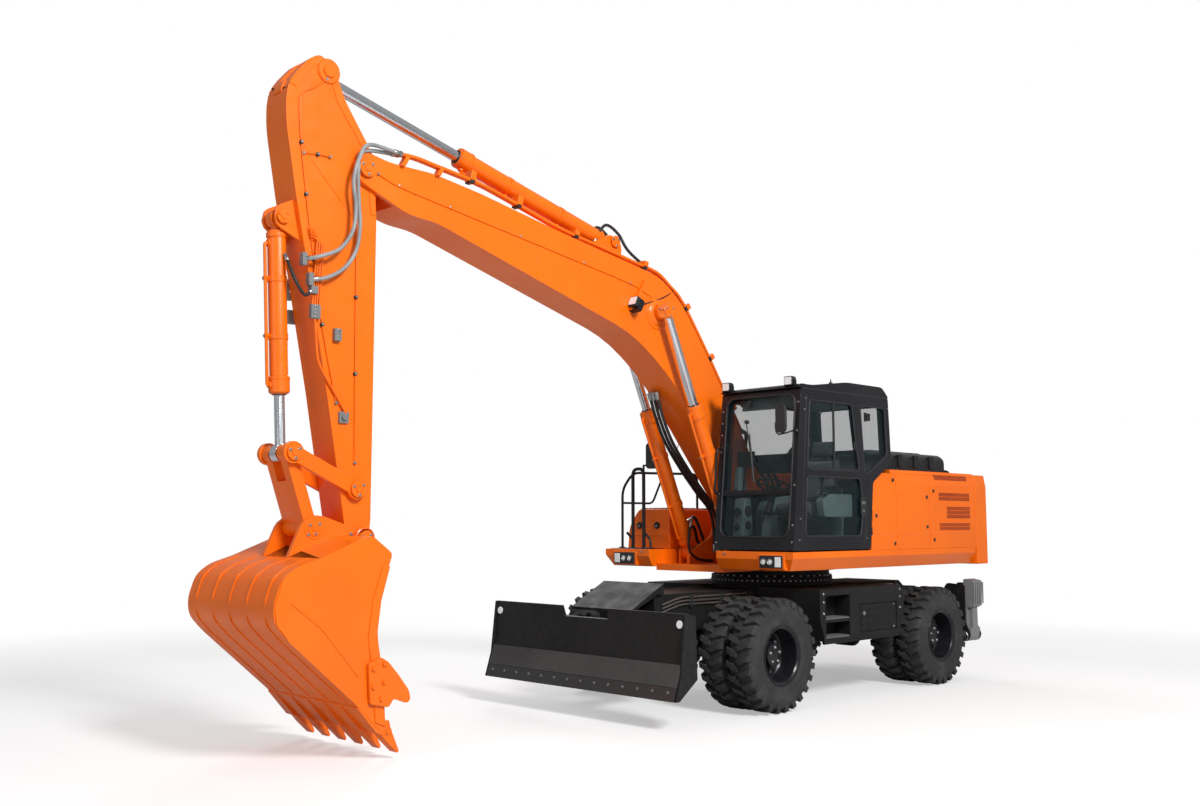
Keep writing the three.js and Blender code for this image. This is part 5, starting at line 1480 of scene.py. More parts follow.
def make_seat():
    x = CAB_MIDDLE
    cushion = slab([(-0.66, 1.835), (-0.655, 1.93), (-0.30, 1.915), (-0.25, 1.87), (-0.25, 1.82),
                    (-0.60, 1.82)], x - 0.215, x + 0.215)
    back = slab([(-0.255, 1.93), (-0.205, 1.93), (-0.10, 2.36), (-0.13, 2.40), (-0.165, 2.40), (-0.20, 2.33),
                 (-0.27, 2.02)],
                x - 0.205, x + 0.205)
    back = moved(back, Matrix.Translation((0, 0.04, 0)))
    head = slab([(-0.115, 2.44), (-0.06, 2.44), (-0.035, 2.575), (-0.075, 2.59), (-0.12, 2.565)],
                x - 0.115, x + 0.115)
    soft_pad("seat_cushion", cushion, CLOTH, "upper", replaces=["driver_seat"])
    soft_pad("seat_back_pad", back, CLOTH, "upper", cap=0.022)
    soft_pad("seat_headrest", head, CLOTH, "upper", cap=0.015)
    shell = joined(
        prism(rounded([(-0.66, 1.775), (-0.20, 1.775), (-0.165, 1.90), (-0.05, 2.41), (-0.075, 2.42),
                       (-0.145, 2.30), (-0.235, 1.86), (-0.27, 1.81), (-0.66, 1.815)], 0.03),
                       "X", x - 0.19, x + 0.19),
        block(x - 0.06, x - 0.045, -0.09, -0.075, 2.38, 2.47),
        block(x + 0.045, x + 0.06, -0.09, -0.075, 2.38, 2.47),
    )
    piece("seat_shell", "upper", PLASTIC, shell, bevel=0.006)
    folds, count = [(0, 0)], 6
    for k in range(count):
        low = k * 0.205 / count
        folds += [(low, 0.175), (low + 0.017, 0.155)]
    folds += [(0.205, 0.175), (0.205, 0)]
    bellows = lathe(folds, (x, -0.37, FLOOR + 0.03), (0, 0, 1), 4)
    centred = Matrix.Translation((-x, 0.37, 0))
    turn = Matrix.Translation((x, -0.37, 0)) @ Matrix.Rotation(math.radians(45), 4, "Z") @ centred
    bellows = moved(bellows, turn)
    base = joined(block(x - 0.16, x + 0.16, -0.56, -0.18, FLOOR, FLOOR + 0.035),
                  block(x - 0.17, x + 0.17, -0.58, -0.18, 1.772, 1.785))
    piece("seat_bellows", "upper", HOSE, bellows, smooth=20)
    piece("seat_base", "upper", DARK, base, bevel=0.004)
    arms = joined(*[
        joined(prism(rounded([(-0.52, 2.055), (-0.20, 2.085), (-0.20, 2.13), (-0.52, 2.10)], 0.02), "X",
                     x + side * 0.27 - 0.03, x + side * 0.27 + 0.03),
               block(x + side * 0.27 - 0.012, x + side * 0.27 + 0.012, -0.23, -0.20, 1.9, 2.09))
               for side in (-1, 1)])
    piece("seat_armrests", "upper", PLASTIC, arms, bevel=0.006)
    piping = []
    for dx in (-0.12, 0.12):
        piping.append(tube(smooth_path([(x + dx, -0.63, 1.928), (x + dx, -0.5, 1.952),
                                        (x + dx, -0.38, 1.947), (x + dx, -0.28, 1.925)], 4), 0.004, 6))
        piping.append(tube(smooth_path([(x + dx, -0.235, 1.99), (x + dx, -0.222, 2.12),
                                        (x + dx, -0.185, 2.27), (x + dx, -0.135, 2.40)], 4), 0.004, 6))
    piece("seat_piping", "upper", PLASTIC, joined(*piping), smooth=60)
    belt = joined(
        tube([(x - 0.215, -0.25, 1.90), (x - 0.235, -0.27, 1.96)], 0.014, 8),
        block(x + 0.215, x + 0.235, -0.29, -0.25, 1.90, 1.97),
    )
    piece("seat_belt_ends", "upper", RED_LENS, belt, bevel=0.003)


def make_controls():
    """Consoles with their levers, the steering column, pedals and monitor, and the cab's lining and trims."""
    x = CAB_MIDDLE
    consoles = []
    low_x, high_x = CAB_LOW.x + 0.065, x - 0.285
    consoles.append(prism(rounded([(-0.70, FLOOR), (-0.70, 1.86), (-0.60, 1.99), (-0.30, 2.03),
                                   (-0.08, 2.03), (-0.08, FLOOR)], 0.03),
                          "X", low_x, high_x))
    consoles.append(prism(rounded([(-0.62, 1.80), (-0.66, 1.97), (-0.52, 2.03), (-0.14, 2.03),
                                   (-0.14, 1.80)], 0.03), "X",
                          x + 0.30, x + 0.385))
    consoles.append(prism(rounded([(-1.075, 1.60), (-1.03, 1.98), (-0.93, 2.00), (-0.90, 1.62)], 0.03),
                          "X", low_x, low_x + 0.13))
    consoles.append(prism(rounded([(-1.05, 2.06), (-1.01, 2.30), (-0.94, 2.32), (-0.90, 2.07)], 0.03),
                          "X", low_x, low_x + 0.06))
    consoles.append(prism(rounded([(-1.08, FLOOR), (-1.06, 1.74), (-0.98, 1.82), (-0.95, 1.82),
                                   (-0.91, FLOOR)], 0.03), "X",
                          x - 0.055, x + 0.055))
    piece("side_consoles", "upper", GREY_PLASTIC, joined(*consoles), bevel=0.008, replaces=["console"])
    dark = [
        prism(rounded([(-0.66, 2.0), (-0.58, 2.055), (-0.16, 2.06), (-0.12, 2.0)], 0.02),
              "X", low_x + 0.01, high_x - 0.01),
        disc((low_x + 0.13, -0.985, 1.86), (1, 0, 0), 0.055, 0.012, 28),
        disc((low_x + 0.13, -0.985, 1.72), (1, 0, 0), 0.040, 0.012, 28),
        disc((low_x + 0.065, -1.06, 1.85), (0, -1, 0.1), 0.045, 0.012, 28),
        disc((low_x + 0.065, -1.075, 1.70), (0, -1, 0.1), 0.036, 0.014, 28),
    ]
    for cx in (low_x + 0.09, x + 0.345):
        dark.append(lathe([(0, 0.05), (0.01, 0.055), (0.03, 0.035), (0.04, 0.042), (0.06, 0.022), (0.06, 0),
                           (0, 0)],
                          (cx, -0.60, 2.02), (0, 0, 1), 20))
        dark.append(tube(smooth_path([(cx, -0.60, 2.07), (cx, -0.605, 2.13), (cx + 0.004, -0.62, 2.19),
                                      (cx, -0.635, 2.235)], 4),
                         [0.010] * 5 + [0.018, 0.021, 0.021, 0.022] + [0.023] * 3 + [0.020], 14))
    wheel_centre = Vector((x, -0.915, 2.10))
    tilt = Vector((0, 0.42, 0.9)).normalized()
    side, up = frame_along(tilt)
    rim = [around(wheel_centre, side, up, 0.18, 2 * math.pi * k / 48) for k in range(48)]
    dark.append(loop_tube(rim, 0.0135, 10))
    for a in (0.5, 2.6, 4.71):
        dark.append(tube([wheel_centre - tilt * 0.012, around(wheel_centre, side, up, 0.175, a)], 0.011, 8))
    dark.append(disc(wheel_centre - tilt * 0.035, tilt, 0.045, 0.04, 28))
    dark.append(tube([wheel_centre - tilt * 0.03, wheel_centre - tilt * 0.30], [0.028, 0.042], 20))
    dark.append(tube([wheel_centre - tilt * 0.10 + side * 0.03, wheel_centre - tilt * 0.08 + side * 0.17],
                     0.008, 8))
    for px in (-0.17, 0.17):
        dark.append(prism(rounded([(x + px - 0.05, -1.06), (x + px + 0.05, -1.06), (x + px + 0.04, -0.86),
                                   (x + px - 0.04, -0.86)], 0.02),
                          "Z", FLOOR + 0.05, FLOOR + 0.062))
        dark.append(tube([(x + px, -0.94, FLOOR + 0.04), (x + px, -0.95, FLOOR + 0.30)], 0.010, 8))
        dark.append(disc((x + px, -0.95, FLOOR + 0.29), (0, 0, 1), 0.022, 0.03, 16))
    monitor = prism(rounded(rectangle(low_x + 0.01, 2.30, low_x + 0.21, 2.46), 0.015), "Y", -0.985, -0.955)
    dark += [monitor, tube([(low_x + 0.07, -0.97, 2.05), (low_x + 0.10, -0.97, 2.31)], 0.010, 8)]
    dark.append(block(low_x, CAB_HIGH.x - 0.065, -1.16, 0.0, FLOOR + 0.0005, FLOOR + 0.008))
    piece("cab_controls", "upper", PLASTIC, joined(*dark), bevel=0.0015, smooth=40)
    piece("monitor_screen", "upper", MIRROR,
          block(low_x + 0.025, low_x + 0.195, -0.953, -0.950, 2.315, 2.445))
    knobs = joined(*[disc((cx, -0.640, 2.232), (0, -0.2, 1), 0.009, 0.010, 12)
                     for cx in (low_x + 0.09, x + 0.345)])
    piece("lever_buttons", "upper", RED_LENS, knobs, smooth=40)
    lining = joined(
        block(CAB_LOW.x + 0.06, CAB_HIGH.x - 0.06, -1.02, 0.33, 3.005, 3.036),
        prism(rounded([(-0.9, 2.94), (-0.3, 2.965), (0.20, 2.94), (0.25, 3.006), (-1.0, 3.006)], 0.03), "X",
              CAB_LOW.x + 0.14, CAB_HIGH.x - 0.14),
        prism(rounded([(-1.05, 2.86), (-1.01, 2.995), (-0.99, 2.995), (-1.03, 2.86)], 0.006),
              "X", x - 0.30, x + 0.10),
    )
    piece("roof_lining", "upper", GREY_PLASTIC, lining, bevel=0.006)
    inner_mirror = prism(rounded([(x - 0.29, 2.90), (x - 0.16, 2.885), (x - 0.15, 2.955), (x - 0.30, 2.965)],
                                 0.03, 5), "Y", -1.085, -1.06)
    stem = tube([(x - 0.23, -1.07, 2.95), (x - 0.23, -1.06, 3.01)], 0.007, 8)
    piece("inner_mirror", "upper", PLASTIC, joined(inner_mirror, stem), bevel=0.004)
    trims = joined(
        prism(rounded([(0.33, 1.56), (0.33, 2.40), (0.37, 2.46), (0.385, 2.40), (0.10, 2.16), (0.02, 2.14),
                       (-0.03, 1.56)], 0.03),
              "X", CAB_LOW.x + 0.062, CAB_LOW.x + 0.09),
        block(CAB_LOW.x + 0.30, CAB_HIGH.x - 0.30, -0.04, 0.0, FLOOR, 2.10),
    )
    piece("cab_trims", "upper", GREY_PLASTIC, trims, bevel=0.005)


def make_cab():
    make_seals()
    make_door_details()
    make_cab_outside()
    make_seat()
    make_controls()


# ---------------------------------------------------------------- boom, arm and bucket
FOOT, NOSE = pin_at("boom_lift"), pin_at("arm_swing")
BUCKET_PIN = pin_at("bucket_curl")
BOOM_HALF = 0.2
ARM_HALF = 0.155
LINK_HALF = ARM_HALF + 0.06
BUCKET_HALF = 0.65
BOOM_LINE = (NOSE - FOOT).normalized()
BOOM_RISE = Vector((BOOM_LINE.y, -BOOM_LINE.x))
ARM_LINE = (BUCKET_PIN - NOSE).normalized()
ARM_RISE = Vector((-ARM_LINE.y, ARM_LINE.x))
BOOM_BACK = [
    (-0.09, 0.16), (1.089, 0.779), (1.534, 1.0), (2.059, 1.235), (2.439, 1.272), (2.729, 1.18),
    (3.704, 0.856), (4.66, 0.561), (5.139, 0.39), (5.518, 0.19), (5.749, 0.12),
]


def boom_at(x, u, v):
    """A point u along the boom's pin line and v above it."""
    y, z = FOOT + BOOM_LINE * u + BOOM_RISE * v
    return Vector((x, y, z))


def back_at(x, u, clear):
    """A point above the boom's back."""
    for (u0, v0), (u1, v1) in zip(BOOM_BACK, BOOM_BACK[1:]):
        if u <= u1:
            return boom_at(x, u, v0 + (v1 - v0) * (u - u0) / (u1 - u0) + clear)
    return boom_at(x, u, BOOM_BACK[-1][1] + clear)


def arm_at(x, u, v):
    """A point u down the arm's pin line and v behind it."""
    y, z = NOSE + ARM_LINE * u + ARM_RISE * v
    return Vector((x, y, z))


BOOM_EYE = boom_at(0, 2.304, 0.925).yz
ARM_RAM_FOOT = boom_at(0, 3.058, 1.263).yz
ARM_HEEL_EYE = (-0.725, -0.33)
LINK_PIN = (-5.861, 2.268)
BUCKET_RAM_FOOT = (-5.950, 4.069)
BOOM_RAM = ((-0.80, 1.43), BOOM_EYE)
ARM_RAM = (ARM_RAM_FOOT, arm_at(0, *ARM_HEEL_EYE).yz)
BUCKET_RAM = (BUCKET_RAM_FOOT, LINK_PIN)


def fitting(start, direction, radius):
    """Crimped sleeve and hexagon nut where a hose meets a pipe."""
    sleeve = lathe([
        (0, 0), (0, radius * 1.25), (radius * 0.6, radius * 1.35), (radius * 3.0, radius * 1.35),
        (radius * 3.4, radius * 1.1), (radius * 3.4, 0),
    ], start, direction, 16)
    nut = lathe([
        (-radius * 1.6, 0), (-radius * 1.6, radius * 1.5), (0, radius * 1.5), (0, 0),
    ], start, direction, 6)
    return joined(sleeve, nut)


def bending(name, start, end, material, part):
    """A hose as one mesh, made in the shared frame and left there."""
    thing = shaped(name, material, part, 0, 60)
    shift = Vector((0, SWING_Y, 0))
    tuple(Vector(start) + shift)
    tuple(Vector(end) + shift)
    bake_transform(thing)


def hose_run(name, first, second, points, radius, material=HOSE):
    """A hose with a fitting on each end, the fittings riding on the first and second bodies."""
    path = smooth_path(points, 8)
    bending(name, points[0], points[-1], material, tube(path, radius, 12))
    piece(f"{name}_start", first, STEEL, fitting(path[0], path[1] - path[0], radius), smooth=40)
    piece(f"{name}_end", second, STEEL, fitting(path[-1], path[-2] - path[-1], radius), smooth=40)


def pipe_clamp(xs, u, clear):
    """A block that holds pipes on the boom's back, with a bolt through its cap."""
    x0, x1 = min(xs) - 0.028, max(xs) + 0.028
    ahead = back_at(0, u + 0.03, 0) - back_at(0, u - 0.03, 0)
    turn = Matrix.Translation(back_at(0, u, clear)) @ Matrix.Rotation(math.atan2(ahead.z, ahead.y), 4, "X")
    base = block(x0, x1, -0.028, 0.028, -clear - 0.01, -0.001)
    cap = block(x0 + 0.003, x1 - 0.003, -0.022, 0.022, 0.001, 0.024)
    head = bolt(((x0 + x1) / 2, 0, 0.024), (0, 0, 1), 0.011)
    return moved(base, turn), moved(cap, turn), moved(head, turn)


def pin_cap(x, y, z, side, radius):
    """A pin's end plate with its keeper bolts."""
    plate = disc((x, y, z), (side, 0, 0), radius, 0.010, 32, 0.3)
    hub = disc((x + side * 0.009, y, z), (side, 0, 0), radius * 0.45, 0.008, 24, 0.4)
    return joined(plate, hub), bolt_ring((x + side * 0.010, y, z), (side, 0, 0), radius * 0.72, 3, 0.010, 0.4)


def pipe_x(side, out, u):
    """The boom pipes spread outward near the nose."""
    return BOOM_X + side * out + side * (0.046 if u > 4.5 else 0)


def pipe_rise(u):
    """How far the boom pipes lie above the boom's back."""
    return 0.045 if u < 3.9 else 0.075 if u < 5.3 else 0.10


def make_boom_details():
    make_boom_pipes()
    make_boom_pins()
    make_boom_plates()
    make_boom_light()
    make_boom_grease_lines()


def make_boom_pipes():
    outs = (0.138, 0.176)
    stations = (0.62, 1.089, 1.534, 2.02, 2.25, 2.47, 2.76, 3.2, 3.704, 4.2, 4.66, 5.0, 5.17, 5.34, 5.50)
    runs, clamps = [], []
    for side in (1, -1):
        for out in outs:
            path = [back_at(pipe_x(side, out, u), u, pipe_rise(u)) for u in stations]
            runs.append(tube(smooth_path(path, 4), 0.0155, 12))
        for u in (0.85, 1.40, 1.95, 2.65, 3.55, 4.25, 4.80):
            clamps.append(pipe_clamp([pipe_x(side, out, u) for out in outs], u, pipe_rise(u)))
    bases, caps, heads = zip(*clamps)
    piece("boom_pipes", "boom", ORANGE, joined(*runs), smooth=60)
    piece("boom_pipe_blocks", "boom", ORANGE, joined(*bases), bevel=0.003)
    piece("boom_pipe_clamps", "boom", PLASTIC, joined(*caps), bevel=0.003)
    piece("boom_pipe_bolts", "boom", STEEL, joined(*heads))

    stays = []
    for u in (5.10, 5.42):
        for side in (1, -1):
            low, high = back_at(0, u, -0.01), back_at(0, u, pipe_rise(u))
            stay = [(low.y - 0.02, low.z), (low.y + 0.02, low.z), (high.y + 0.02, high.z),
                    (high.y - 0.02, high.z)]
            stays.append(prism(stay, "X", BOOM_X + side * 0.170, BOOM_X + side * 0.238))
    piece("boom_nose_stays", "boom", ORANGE, joined(*stays), bevel=0.003)


def make_boom_pins():
    caps, bolts = [], []
    for (y, z), half, radius in ((NOSE, BOOM_HALF + 0.025, 0.075), (ARM_RAM_FOOT, 0.130, 0.058)):
        for side in (1, -1):
            cap, ring = pin_cap(BOOM_X + side * half, y, z, side, radius)
            caps.append(cap)
            bolts.append(ring)
    for side, name in SIDES:
        cap, ring = pin_cap(BOOM_X + side * (CYLINDER_X + 0.046), *BOOM_EYE, side, 0.072)
        piece(f"boom_cylinder_pin_cap_{name}", "boom", ORANGE, cap)
        bolts.append(ring)
    piece("boom_pin_caps", "boom", ORANGE, joined(*caps))
    piece("boom_pin_bolts", "boom", STEEL, joined(*bolts))


def make_boom_plates():
    """Bosses and ribs round the boom cylinders' eyes, and the weld seams of the boom's sides."""
    plates = []
    rib = [boom_at(0, u, v).yz for u, v in ((2.62, 0.72), (2.60, 1.10), (2.625, 1.10), (2.655, 0.72))]
    for side in (1, -1):
        x = BOOM_X + side * BOOM_HALF
        plates.append(disc((x - side * 0.002, *BOOM_EYE), (side, 0, 0), 0.165, 0.012, 40, 0.4))
        plates.append(lathe([(0, 0.135), (0.018, 0.118), (0.026, 0.082), (0.0, 0.08)],
                            (x + side * 0.008, *BOOM_EYE), (side, 0, 0), 36))
        plates.append(prism(rib, "X", x - side * 0.002, x + side * 0.035))
    piece("boom_side_plates", "boom", ORANGE, joined(*plates), bevel=0.002)
    seams = []
    for side in (1, -1):
        x = BOOM_X + side * BOOM_HALF
        for u, low, high in ((1.05, 0.10, 0.72), (3.85, 0.36, 0.78)):
            seams.append(tube([boom_at(x, u, low), boom_at(x, u + 0.02, high)], 0.004, 6))
    piece("boom_weld_seams", "boom", ORANGE, joined(*seams), smooth=60)


def make_boom_light():
    face = BOOM_X + BOOM_HALF
    place = boom_at(face + 0.055, 2.62, 0.80)
    tilt = Matrix.Translation(place) @ Matrix.Rotation(-math.radians(24), 4, "X")
    shell = prism(rounded(rectangle(-0.055, -0.05, 0.055, 0.05), 0.014), "Y", -0.07, 0.03)
    fins = joined(*[block(-0.048, 0.048, 0.028, 0.048, -0.042 + 0.018 * k, -0.036 + 0.018 * k)
                    for k in range(5)])
    pane = prism(rounded(rectangle(-0.046, -0.041, 0.046, 0.041), 0.010), "Y", -0.073, -0.069)
    bracket = joined(block(-0.062, -0.056, -0.03, 0.02, -0.075, 0.04),
                     block(0.056, 0.062, -0.03, 0.02, -0.075, 0.04),
                     block(-0.062, 0.062, -0.03, 0.02, -0.081, -0.075))
    piece("boom_light_shell", "boom", PLASTIC, moved(joined(shell, fins), tilt), bevel=0.003)
    piece("boom_light_lens", "boom", CLEAR_LENS, moved(pane, tilt))
    piece("boom_light_bracket", "boom", DARK, moved(bracket, tilt), bevel=0.001)
    cable = smooth_path([boom_at(face + 0.03, 2.58, 0.83), boom_at(face + 0.012, 2.45, 0.95),
                         boom_at(face + 0.008, 2.30, 1.12), back_at(face - 0.01, 2.20, 0.02)], 5)
    piece("boom_light_cable", "boom", HOSE, tube(cable, 0.006, 8), smooth=60)


def make_boom_grease_lines():
    lines, nipples = [], []
    for side in (1, -1):
        x = BOOM_X + side * (BOOM_HALF + 0.007)
        route = [(2.44, 1.02), (2.75, 0.96), (3.35, 0.76), (4.10, 0.50), (4.85, 0.24), (5.35, 0.07),
                 (5.56, 0.03)]
        lines.append(tube(smooth_path([boom_at(x, u, v) for u, v in route], 5), 0.0045, 8))
        for u, v in route[1:-1]:
            clip = boom_at(BOOM_X + side * BOOM_HALF, u, v)
            nipples.append(bolt(clip + Vector((0, 0, 0.014)), (side, 0, 0), 0.009))
        nipples.append(disc(boom_at(BOOM_X + side * BOOM_HALF, 5.57, 0.028), (side, 0, 0), 0.011, 0.02, 12))
    piece("boom_grease_lines", "boom", ORANGE, joined(*lines), smooth=60)
    piece("boom_grease_fittings", "boom", STEEL, joined(*nipples), smooth=40)


def cylinder_frame(base, eye):
    """A function that gives the point along and out from a cylinder's line, at an x."""
    base, eye = Vector(base), Vector(eye)
    line = (eye - base).normalized()
    rise = Vector((-line.y, line.x))

    def at(x, along, out):
        y, z = base + line * along + rise * out
        return Vector((x, y, z))
    return at


def ram_details(name, body, base, eye, x, radius, start, end, head, side):
    """Gland ring, bands, head bolts and the oil pipe of a barrel; side says which way the pipe lies."""
    at = cylinder_frame(base, eye)
    line = at(x, 1, 0) - at(x, 0, 0)
    rings = [
        lathe([(-0.012, radius), (-0.008, radius + 0.013), (0.012, radius + 0.013), (0.016, radius)],
              at(x, end - head, 0), line, 36),
        lathe([(-0.010, 0.0), (-0.010, radius + 0.004), (0.004, radius + 0.002), (0.014, radius * 0.86),
               (0.014, 0)],
              at(x, end, 0), line, 36),
        lathe([(-0.02, radius - 0.01), (-0.01, radius + 0.008), (0.02, radius + 0.008),
               (0.03, radius - 0.01)], at(x, start + 0.03, 0), line, 36),
    ]
    bands = [
        lathe([(-0.022, radius - 0.002), (-0.022, radius + 0.005), (0.022, radius + 0.005),
               (0.022, radius - 0.002)],
              at(x, start + (end - head - start) * share, 0), line, 36) for share in (0.33, 0.72)
    ]
    out = radius + 0.030
    across = at(x, 0, side) - at(x, 0, 0)
    path = [at(x, start + 0.10, side * (radius - 0.01)), at(x, start + 0.10, side * out),
            at(x, end - head * 0.5, side * out), at(x, end - head * 0.5, side * radius)]
    pipe = tube(bent_path(path, 0.05), 0.013, 12)
    ports = joined(
        lathe([(0, 0), (0, 0.030), (0.012, 0.030), (0.012, 0)], at(x, start + 0.10, side * (radius - 0.004)),
              across, 20),
        lathe([(0, 0), (0, 0.026), (0.014, 0.026), (0.014, 0)],
              at(x, end - head * 0.5, side * (radius + 0.006)), across, 20),
    )
    saddles, heads = [], []
    for share in (0.33, 0.72):
        place = at(x, start + (end - head - start) * share, side * (radius + 0.002))
        saddles.append(lathe([(0, 0), (0, 0.022), (0.046, 0.020), (0.046, 0)], place, across, 4))
        heads.append(bolt(place + across.normalized() * 0.046, across, 0.009))
    wide, upward = frame_along(line)
    face = at(x, end, 0) + line.normalized() * 0.002
    for k in range(8):
        heads.append(bolt(around(face, wide, upward, radius - 0.006, 2 * math.pi * k / 8 + 0.2), line, 0.008))
    piece(f"{name}_rings", body, ORANGE, joined(*rings, pipe, ports), smooth=40)
    piece(f"{name}_bands", body, ORANGE, joined(*bands, *saddles), smooth=40)
    piece(f"{name}_head_bolts", body, STEEL, joined(*heads))
    wiper_ring = lathe([(0, 0.0), (0, radius * 0.78), (0.010, radius * 0.74), (0.010, 0)],
                       at(x, end + 0.010, 0), line, 32)
    piece(f"{name}_wiper_ring", body, PLASTIC, wiper_ring, smooth=40)


def make_rams():
    for side, name in SIDES:
        x = BOOM_X + side * CYLINDER_X
        ram_details(f"{name}_boom_ram", "boom_barrels", *BOOM_RAM, x, 0.076, 0.10, 1.61, 0.11, 1)
    ram_details("arm_ram", "arm_barrel", *ARM_RAM, BOOM_X, 0.082, 0.105, 1.90, 0.12, 1)
    ram_details("bucket_ram", "bucket_barrel", *BUCKET_RAM, BOOM_X, 0.070, 0.095, 1.34, 0.11, -1)


def make_arm_details():
    make_arm_pins()
    make_arm_plates()
    make_arm_grease_lines()
    make_arm_ports()
    make_arm_bosses()


def make_arm_pins():
    bolts = []
    for side, name in SIDES:
        cap, ring = pin_cap(BOOM_X + side * LINK_HALF, *arm_at(0, 2.565, -0.043).yz, side, 0.068)
        piece(f"guide_pin_cap_{name}", "guide_link", ORANGE, cap)
        bolts.append(ring)
    piece("guide_pin_bolts", "guide_link", STEEL, joined(*bolts))
    caps, bolts = zip(*[pin_cap(BOOM_X + side * LINK_HALF, *LINK_PIN, side, 0.062) for side in (1, -1)])
    piece("link_pin_caps", "guide_link", ORANGE, joined(*caps))
    piece("link_pin_bolts", "guide_link", STEEL, joined(*bolts))
    caps = []
    for side in (1, -1):
        caps += pin_cap(BOOM_X + side * 0.118, *BUCKET_RAM_FOOT, side, 0.056)
    piece("bucket_ram_pin_caps", "arm", ORANGE, joined(*caps))


def on_arm(side, out, u, v):
    """A point u down and v behind the arm's pin line, out from its side face."""
    return arm_at(BOOM_X + side * (ARM_HALF + out), u, v)


def arm_side_prism(outline, out, side, inset=0.002):
    """An outline of (y, z) points standing on a side face of the arm."""
    return prism(outline, "X", BOOM_X + side * (ARM_HALF - inset), BOOM_X + side * (ARM_HALF + out))


def arm_pad(u0, v0, u1, v1):
    """The rounded upright box between two points beside the arm's pin line."""
    a, b = arm_at(0, u0, v0), arm_at(0, u1, v1)
    return rounded(rectangle(a.y, a.z, b.y, b.z), 0.006, 2)


def make_arm_plates():
    """Weld seams and stiffening bands on the arm's sides, and the plate that closes its heel."""
    seams = [tube([on_arm(side, 0, 0.02, -0.47), on_arm(side, 0, 0.42, -0.08)], 0.004, 6) for side in (1, -1)]
    band = [
        (-0.55, -0.675), (-0.775, -0.487), (-0.832, -0.40), (-0.722, -0.274), (-0.53, -0.197), (-0.14, 0.082),
        (0.36, 0.118), (0.36, 0.075), (-0.12, 0.030), (-0.50, -0.25), (-0.685, -0.315), (-0.775, -0.40),
        (-0.735, -0.462), (-0.535, -0.615),
    ]
    for side in (1, -1):
        seams.append(arm_side_prism([arm_at(0, u, v).yz for u, v in band], 0.007, side))
    piece("arm_side_bands", "arm", ORANGE, joined(*seams), bevel=0.003, smooth=50)
    wrap = [
        (-0.500, -0.6915), (-0.5051, -0.6915), (-0.5392, -0.6868), (-0.5731, -0.6742), (-0.6023, -0.6550),
        (-0.5934, -0.6441), (-0.5667, -0.6617), (-0.5358, -0.6732), (-0.5051, -0.6775), (-0.500, -0.6775),
    ]
    plate = prism([arm_at(0, u, v).yz for u, v in wrap], "X", BOOM_X - 0.061, BOOM_X + 0.061)
    piece("arm_heel_plate", "arm", ORANGE, plate, smooth=50)


def make_arm_grease_lines():
    lines, clips, nuts = [], [], []
    routes = [
        [(-0.655, -0.35), (-0.56, -0.46), (-0.50, -0.55), (-0.40, -0.585), (-0.10, -0.565), (0.30, -0.515),
         (0.80, -0.44), (1.30, -0.36), (1.90, -0.225)],
        [(-0.02, -0.545), (-0.03, -0.46), (-0.035, -0.38), (-0.035, -0.31)],
        [(0.42, -0.060), (1.05, -0.058), (1.66, -0.056), (2.36, -0.050)],
    ]
    held = routes[0][4:8] + [(-0.033, -0.42)] + routes[2][1:3]
    for route in routes:
        for side in (1, -1):
            lines.append(tube(smooth_path([on_arm(side, 0.009, u, v) for u, v in route], 5), 0.005, 8))
            for u, v in (route[0], route[-1]):
                nuts.append(disc(on_arm(side, 0, u, v), (side, 0, 0), 0.013, 0.022, 14))
    for u, v in held:
        for side in (1, -1):
            clips.append(disc(on_arm(side, 0, u, v), (side, 0, 0), 0.016, 0.024, 16))
            nuts.append(bolt(on_arm(side, 0.024, u, v), (side, 0, 0), 0.008))
    piece("arm_grease_lines", "arm", ORANGE, joined(*lines), smooth=60)
    piece("arm_line_clips", "arm", PLASTIC, joined(*clips), smooth=40)
    piece("arm_line_nuts", "arm", STEEL, joined(*nuts))


def make_arm_ports():
    """The pipes' port blocks on the arm's sides, with their bolts and short pipes."""
    blocks, studs, pipes = [], [], []
    for u, v0, v1, length in ((1.155, -0.47, -0.39, 0.11), (1.32, -0.26, -0.20, 0.10)):
        for side in (1, -1):
            blocks.append(arm_side_prism(arm_pad(u, v0, u + length, v1), 0.040, side))
            for k in range(4):
                place = on_arm(side, 0.040, u + 0.014 + k * (length - 0.028) / 3, (v0 + v1) / 2)
                studs.append(bolt(place, (side, 0, 0), 0.009))
    for k in range(4):
        x = BOOM_X + ARM_HALF + 0.030
        start = arm_at(x, 0.56 + 0.022 * k, -0.50 + 0.006 * k)
        turn = arm_at(x, 0.60 + 0.022 * k, -0.42 + 0.018 * k)
        end = arm_at(x, 1.155, -0.458 + 0.020 * k)
        pipes.append(tube(bent_path([start, turn, end], 0.06), 0.0065, 8))
    x = BOOM_X + ARM_HALF + 0.022
    low_pipe = [arm_at(x, 1.26, -0.43), arm_at(x, 1.60, -0.40), arm_at(x, 1.97, -0.145),
                arm_at(BOOM_X + ARM_HALF + 0.004, 2.03, -0.140)]
    pipes.append(tube(bent_path(low_pipe, 0.08), 0.009, 10))
    piece("arm_port_blocks", "arm", GREY, joined(*blocks), bevel=0.003)
    piece("arm_port_bolts", "arm", STEEL, joined(*studs))
    piece("arm_port_pipes", "arm", ORANGE, joined(*pipes), smooth=60)
    taps = []
    for side in (1, -1):
        taps.append(arm_side_prism(arm_pad(1.965, -0.20, 2.055, -0.115), 0.022, side))
        taps.append(disc(on_arm(side, 0.02, 2.01, -0.158), (side, 0, 0), 0.024, 0.020, 20))
    piece("arm_lower_blocks", "arm", GREY, joined(*taps), bevel=0.003)


